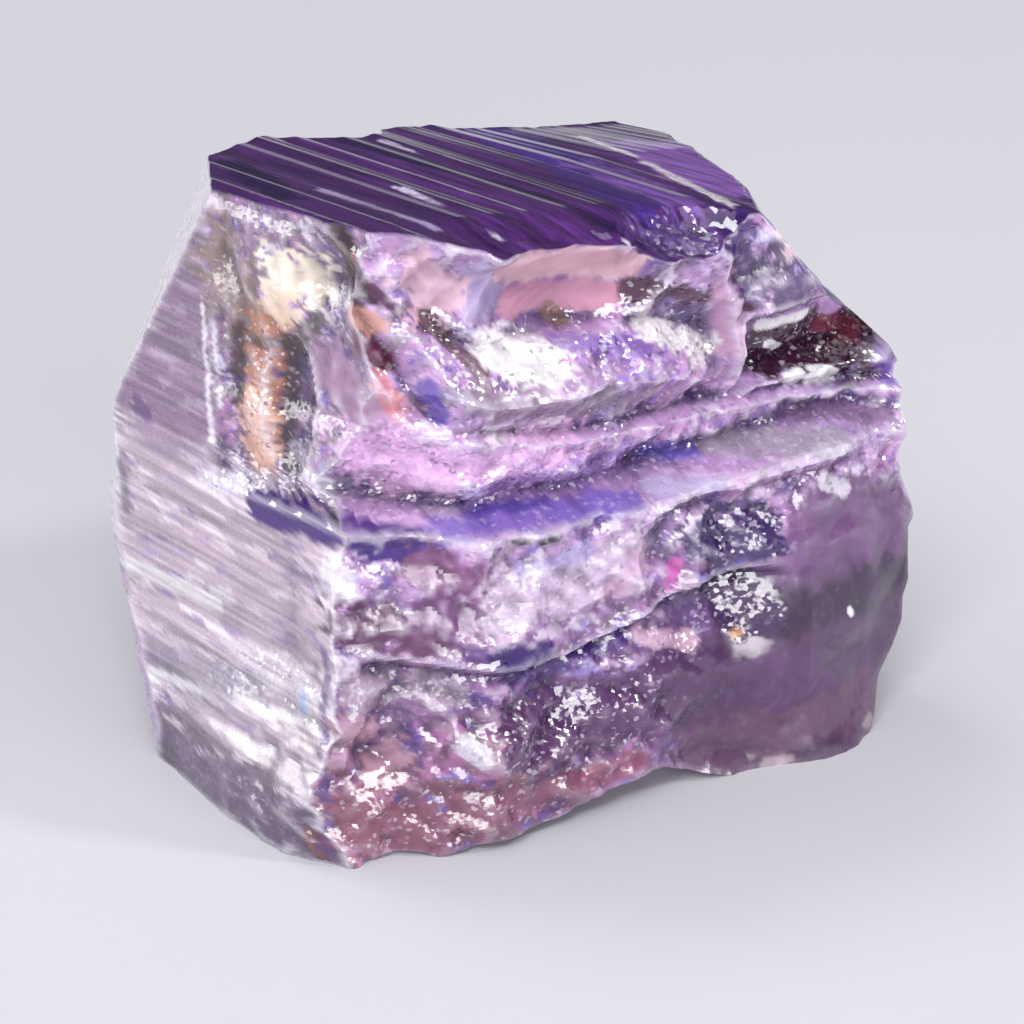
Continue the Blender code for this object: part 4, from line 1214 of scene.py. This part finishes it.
def zone_weight(zone):
    """How much of a zone each point has: its strength inside, fading at the edge."""
    start, end = np.array(zone.start), np.array(zone.end)
    run = end - start
    seen = points + shift * min(1.0, zone.half_width / FULL_SHIFT_HALF_WIDTH) ** 2
    share = np.clip(((seen - start) @ run) / max(run @ run, 1e-9), 0.0, 1.0)
    distance = np.linalg.norm(seen - start - share[:, None] * run, axis=1) / zone.half_width
    return zone.strength * fade(distance + edge_waver, CORE_SHARE, 1.0)


print("largest shift, mm:", round(float(np.abs(shift).max()), 2))

# %% [markdown]
# Frost and grain start from plain values for each side. Then all the zones are
# laid over the tint, the frost and the grain, in their order, a small one after
# the large one that it lies in. The zones of the sides stay off the top, whose
# front edge has to be sharp.

# %% Lay the zones over the sides
broken_sides = on_front | on_back | on_right
frost = 0.08 * on_top + 0.24 * on_left + 0.12 * broken_sides + 0.3 * on_base
frost = frost * (1.0 - 0.8 * glassy_front) + 0.10 * quiet_right + 0.06 * lower_front
grain = (0.03 + 0.49 * broken_left) * on_left + 0.60 * broken_sides + 0.3 * on_base
grain = grain * (1.0 - glassy_front) * (1.0 - 0.6 * quiet_right) * (1.0 - 0.5 * lower_front)
for zones, allowed in ((TOP_ZONES, 1.0), (SIDE_ZONES, ~on_top)):
    for zone in zones:
        weight = zone_weight(zone) * allowed
        tint = lay_over(tint, zone.colour, weight)
        zone_frost, zone_grain = FINISHES[zone.finish]
        frost = frost + (zone_frost - frost) * weight
        grain = grain + (zone_grain - grain) * weight
print("frosty share:", round(float((frost > 0.3).mean()), 3))

# %% [markdown]
# Last come the painted shade in fine hollows and the painted highlights on fine edges, over the
# zones as well, so that the sharpest lines of the stone stay readable in every colour. Then the
# results are written to the mesh as attributes, under the names that the material reads.

# %% Painted light on fine edges and hollows, and the attributes
FINE_DEPTH, EDGE_HEIGHTS = 0.05, (0.0075, 0.0575)
# painted shade in the crevices and the fine hollows
tint = shade(tint, -0.5 * crevice_shade - 0.7 * ramp(fine_hollow, 0.0, FINE_DEPTH))
# painted highlight on fine edges
edge_highlight = ramp(-fine_hollow, *EDGE_HEIGHTS) * ~on_top * calm * sparkle
tint = np.clip(lay_over(tint, "F6F2FC", 0.45 * edge_highlight), 0.0, 1.0)
ATTRIBUTES = (
    ("tint", "FLOAT_COLOR", "color", np.column_stack((tint, np.ones(len(tint))))),
    ("frost", "FLOAT", "value", frost),
    ("grain", "FLOAT", "value", grain),
    ("growth", "FLOAT", "value", growth * (1.0 - 0.35 * on_left)),
)
for name, kind, field, values in ATTRIBUTES:
    layer = crystal_data.attributes.new(name, kind, "POINT")
    layer.data.foreach_set(field, np.ascontiguousarray(values, dtype=np.float32).ravel())
print("attributes:", [name for name, *_ in ATTRIBUTES])

# %% [markdown]
# ## Zoisite
#
# Zoisite is a clear silicate with a refractive index of about 1.69, so a polished
# or freshly broken face is glassy, and light goes in and out of it many times.
# The body colour comes from absorption over the length of the light's way, which
# makes thick places deeper than thin rims. Where growth steps or cleavage steps
# are finer than the eye resolves, the face turns satin or frosty. The patterns
# read Object coordinates, here turned to millimetres, so they stay in the stone.

# %% Node helper
def add_node(tree, kind, settings=None, values=None, links=None):
    """Add a node, with its settings, plain input values and incoming links."""
    node = tree.nodes.new(kind)
    for key, value in (settings or {}).items():
        setattr(node, key, value)
    for key, value in (values or {}).items():
        node.inputs[key].default_value = value
    for key, source in (links or {}).items():
        tree.links.new(source, node.inputs[key])
    return node


zoisite, tree, shader = new_material("gem zoisite")
place = add_node(tree, "ShaderNodeTexCoord").outputs["Object"]
in_mm = add_node(tree, "ShaderNodeVectorMath", {"operation": "SCALE"}, {"Scale": 1.0 / MM},
                 {0: place}).outputs[0]
read = {
    name: add_node(tree, "ShaderNodeAttribute", {"attribute_name": name}).outputs
    for name, *_ in ATTRIBUTES
}
print("material:", zoisite.name)

# %% [markdown]
# The glitter of a hackly break comes from thousands of tiny flat faces. A noise
# bump would only look wavy, and it asks for the texture several times at every
# hit of a ray, which is slow in a clear stone. A Voronoi texture gives cells with
# one random colour each. That colour, counted from its middle, is added to the
# surface normal as a tilt. So each cell of about 0.12 mm is a tilted flat face,
# and it flashes as a whole. Real grit is finer, but that wouldn't show.

# %% Grit: tilted cells
GRIT_SIZE, GRIT_STRETCH, GRIT_TILT = 0.125, (0.85, 0.9, 1.15), 0.62

stretched = add_node(tree, "ShaderNodeVectorMath", {"operation": "MULTIPLY"},
                     {1: GRIT_STRETCH}, {0: in_mm})
cells = add_node(tree, "ShaderNodeTexVoronoi", {"feature": "F1"}, {"Scale": 1.0 / GRIT_SIZE},
                 {"Vector": stretched.outputs[0]}).outputs["Color"]
cell_tones = add_node(tree, "ShaderNodeSeparateColor", None, None, {0: cells}).outputs
tilt = add_node(tree, "ShaderNodeVectorMath", {"operation": "SUBTRACT"},
                {1: (0.5, 0.5, 0.5)}, {0: cells})
tilt_share = add_node(tree, "ShaderNodeMath", {"operation": "MULTIPLY"},
                      {1: GRIT_TILT}, {0: read["grain"]["Fac"]})
scaled_tilt = add_node(tree, "ShaderNodeVectorMath", {"operation": "SCALE"}, None,
                       {0: tilt.outputs[0], "Scale": tilt_share.outputs[0]})
plain_normal = add_node(tree, "ShaderNodeNewGeometry").outputs["Normal"]
tilted = add_node(tree, "ShaderNodeVectorMath", {"operation": "ADD"}, None,
                  {0: plain_normal, 1: scaled_tilt.outputs[0]})
facet_normal = add_node(tree, "ShaderNodeVectorMath", {"operation": "NORMALIZE"}, None,
                        {0: tilted.outputs[0]})
tree.links.new(facet_normal.outputs[0], shader.inputs["Normal"])
print("nodes so far:", len(tree.nodes))

# %% [markdown]
# Growth striae all run along the long axis, which is the Y direction. One noise
# texture whose space is drawn out about thirty times along Y gives both the
# stripes of the top and those of the left face, 0.2 mm apart, and they meet
# correctly at the edge.

# %% Stripes of the grown faces
STRIAE_SPACING, STRIAE_DRAW = 0.2, (1.0, 0.03, 1.0)

drawn_out = add_node(tree, "ShaderNodeVectorMath", {"operation": "MULTIPLY"},
                     {1: STRIAE_DRAW}, {0: in_mm})
fine_striae = add_node(tree, "ShaderNodeTexNoise", None,
                       {"Scale": 1.0 / STRIAE_SPACING, "Detail": 1.0, "Roughness": 0.8},
                       {"Vector": drawn_out.outputs[0]})
streak_light = add_node(tree, "ShaderNodeMapRange", None,
                        {"From Min": 0.30, "From Max": 0.70, "To Min": 0.58, "To Max": 1.46},
                        {"Value": fine_striae.outputs["Fac"]})
streaked = add_node(tree, "ShaderNodeVectorMath", {"operation": "SCALE"}, None,
                    {0: read["tint"]["Color"], "Scale": streak_light.outputs[0]})
grown_tint = add_node(tree, "ShaderNodeMix", {"data_type": "RGBA"}, None,
                      {0: read["growth"]["Fac"], 6: read["tint"]["Color"], 7: streaked.outputs[0]})
print("nodes so far:", len(tree.nodes))

# %% [markdown]
# Of the grit, the few brightest cells turn white and the few darkest a deep plum. The white cells
# are painted glints, crisp points of light, and the plum ones are dark specks between them. Both
# are laid over the colour in the same way, so a loop makes them.

# %% Painted glints and specks
# The white row is painted glints, the plum row dark specks.
# Each row: colour, the cell tones at which it starts and is full, and its strength
GRIT_COLOURS = (("F6F0FF", 0.86, 1.0, 0.75), ("3A2A50", 0.06, 0.01, 0.7))

colour = grown_tint.outputs[2]
for code, start, full, strength in GRIT_COLOURS:
    chosen = add_node(tree, "ShaderNodeMapRange", None,
                      {"From Min": start, "From Max": full, "To Max": strength},
                      {"Value": cell_tones[1]})
    share = add_node(tree, "ShaderNodeMath", {"operation": "MULTIPLY"}, None,
                     {0: chosen.outputs[0], 1: read["grain"]["Fac"]})
    colour = add_node(tree, "ShaderNodeMix", {"data_type": "RGBA"}, {7: (*linear(code), 1.0)},
                      {0: share.outputs[0], 6: colour}).outputs[2]
tree.links.new(colour, shader.inputs["Base Color"])
print("nodes so far:", len(tree.nodes))

# %% [markdown]
# Roughness follows the frost, and differs a little from cell to cell. The
# clearness, the index and the absorption are the plain values of the stone. A
# fully clear body would need the thousand inner cracks that cloud the real one,
# so half of the light is let through and half is scattered at the skin.

# %% Gloss and clarity
CLEARNESS, INDEX = 0.50, 1.695
BODY_COLOUR, BODY_DENSITY = (0.70, 0.37, 0.75, 1.0), 34.0
LEAST_ROUGHNESS = 0.035

cell_gloss = add_node(tree, "ShaderNodeMapRange", None, {"To Min": 0.8, "To Max": 1.15},
                      {"Value": cell_tones[2]})
roughness = add_node(tree, "ShaderNodeMath", {"operation": "MULTIPLY_ADD"}, {2: LEAST_ROUGHNESS},
                     {0: read["frost"]["Fac"], 1: cell_gloss.outputs[0]})
tree.links.new(roughness.outputs[0], shader.inputs["Roughness"])
shader.inputs["IOR"].default_value = INDEX
shader.inputs["Transmission Weight"].default_value = CLEARNESS
body = add_node(tree, "ShaderNodeVolumeAbsorption", None,
                {"Color": BODY_COLOUR, "Density": BODY_DENSITY})
tree.links.new(body.outputs["Volume"], tree.nodes["Material Output"].inputs["Volume"])
crystal_data.materials.append(zoisite)
print("nodes in all:", len(tree.nodes))

bpy.context.view_layer.update()
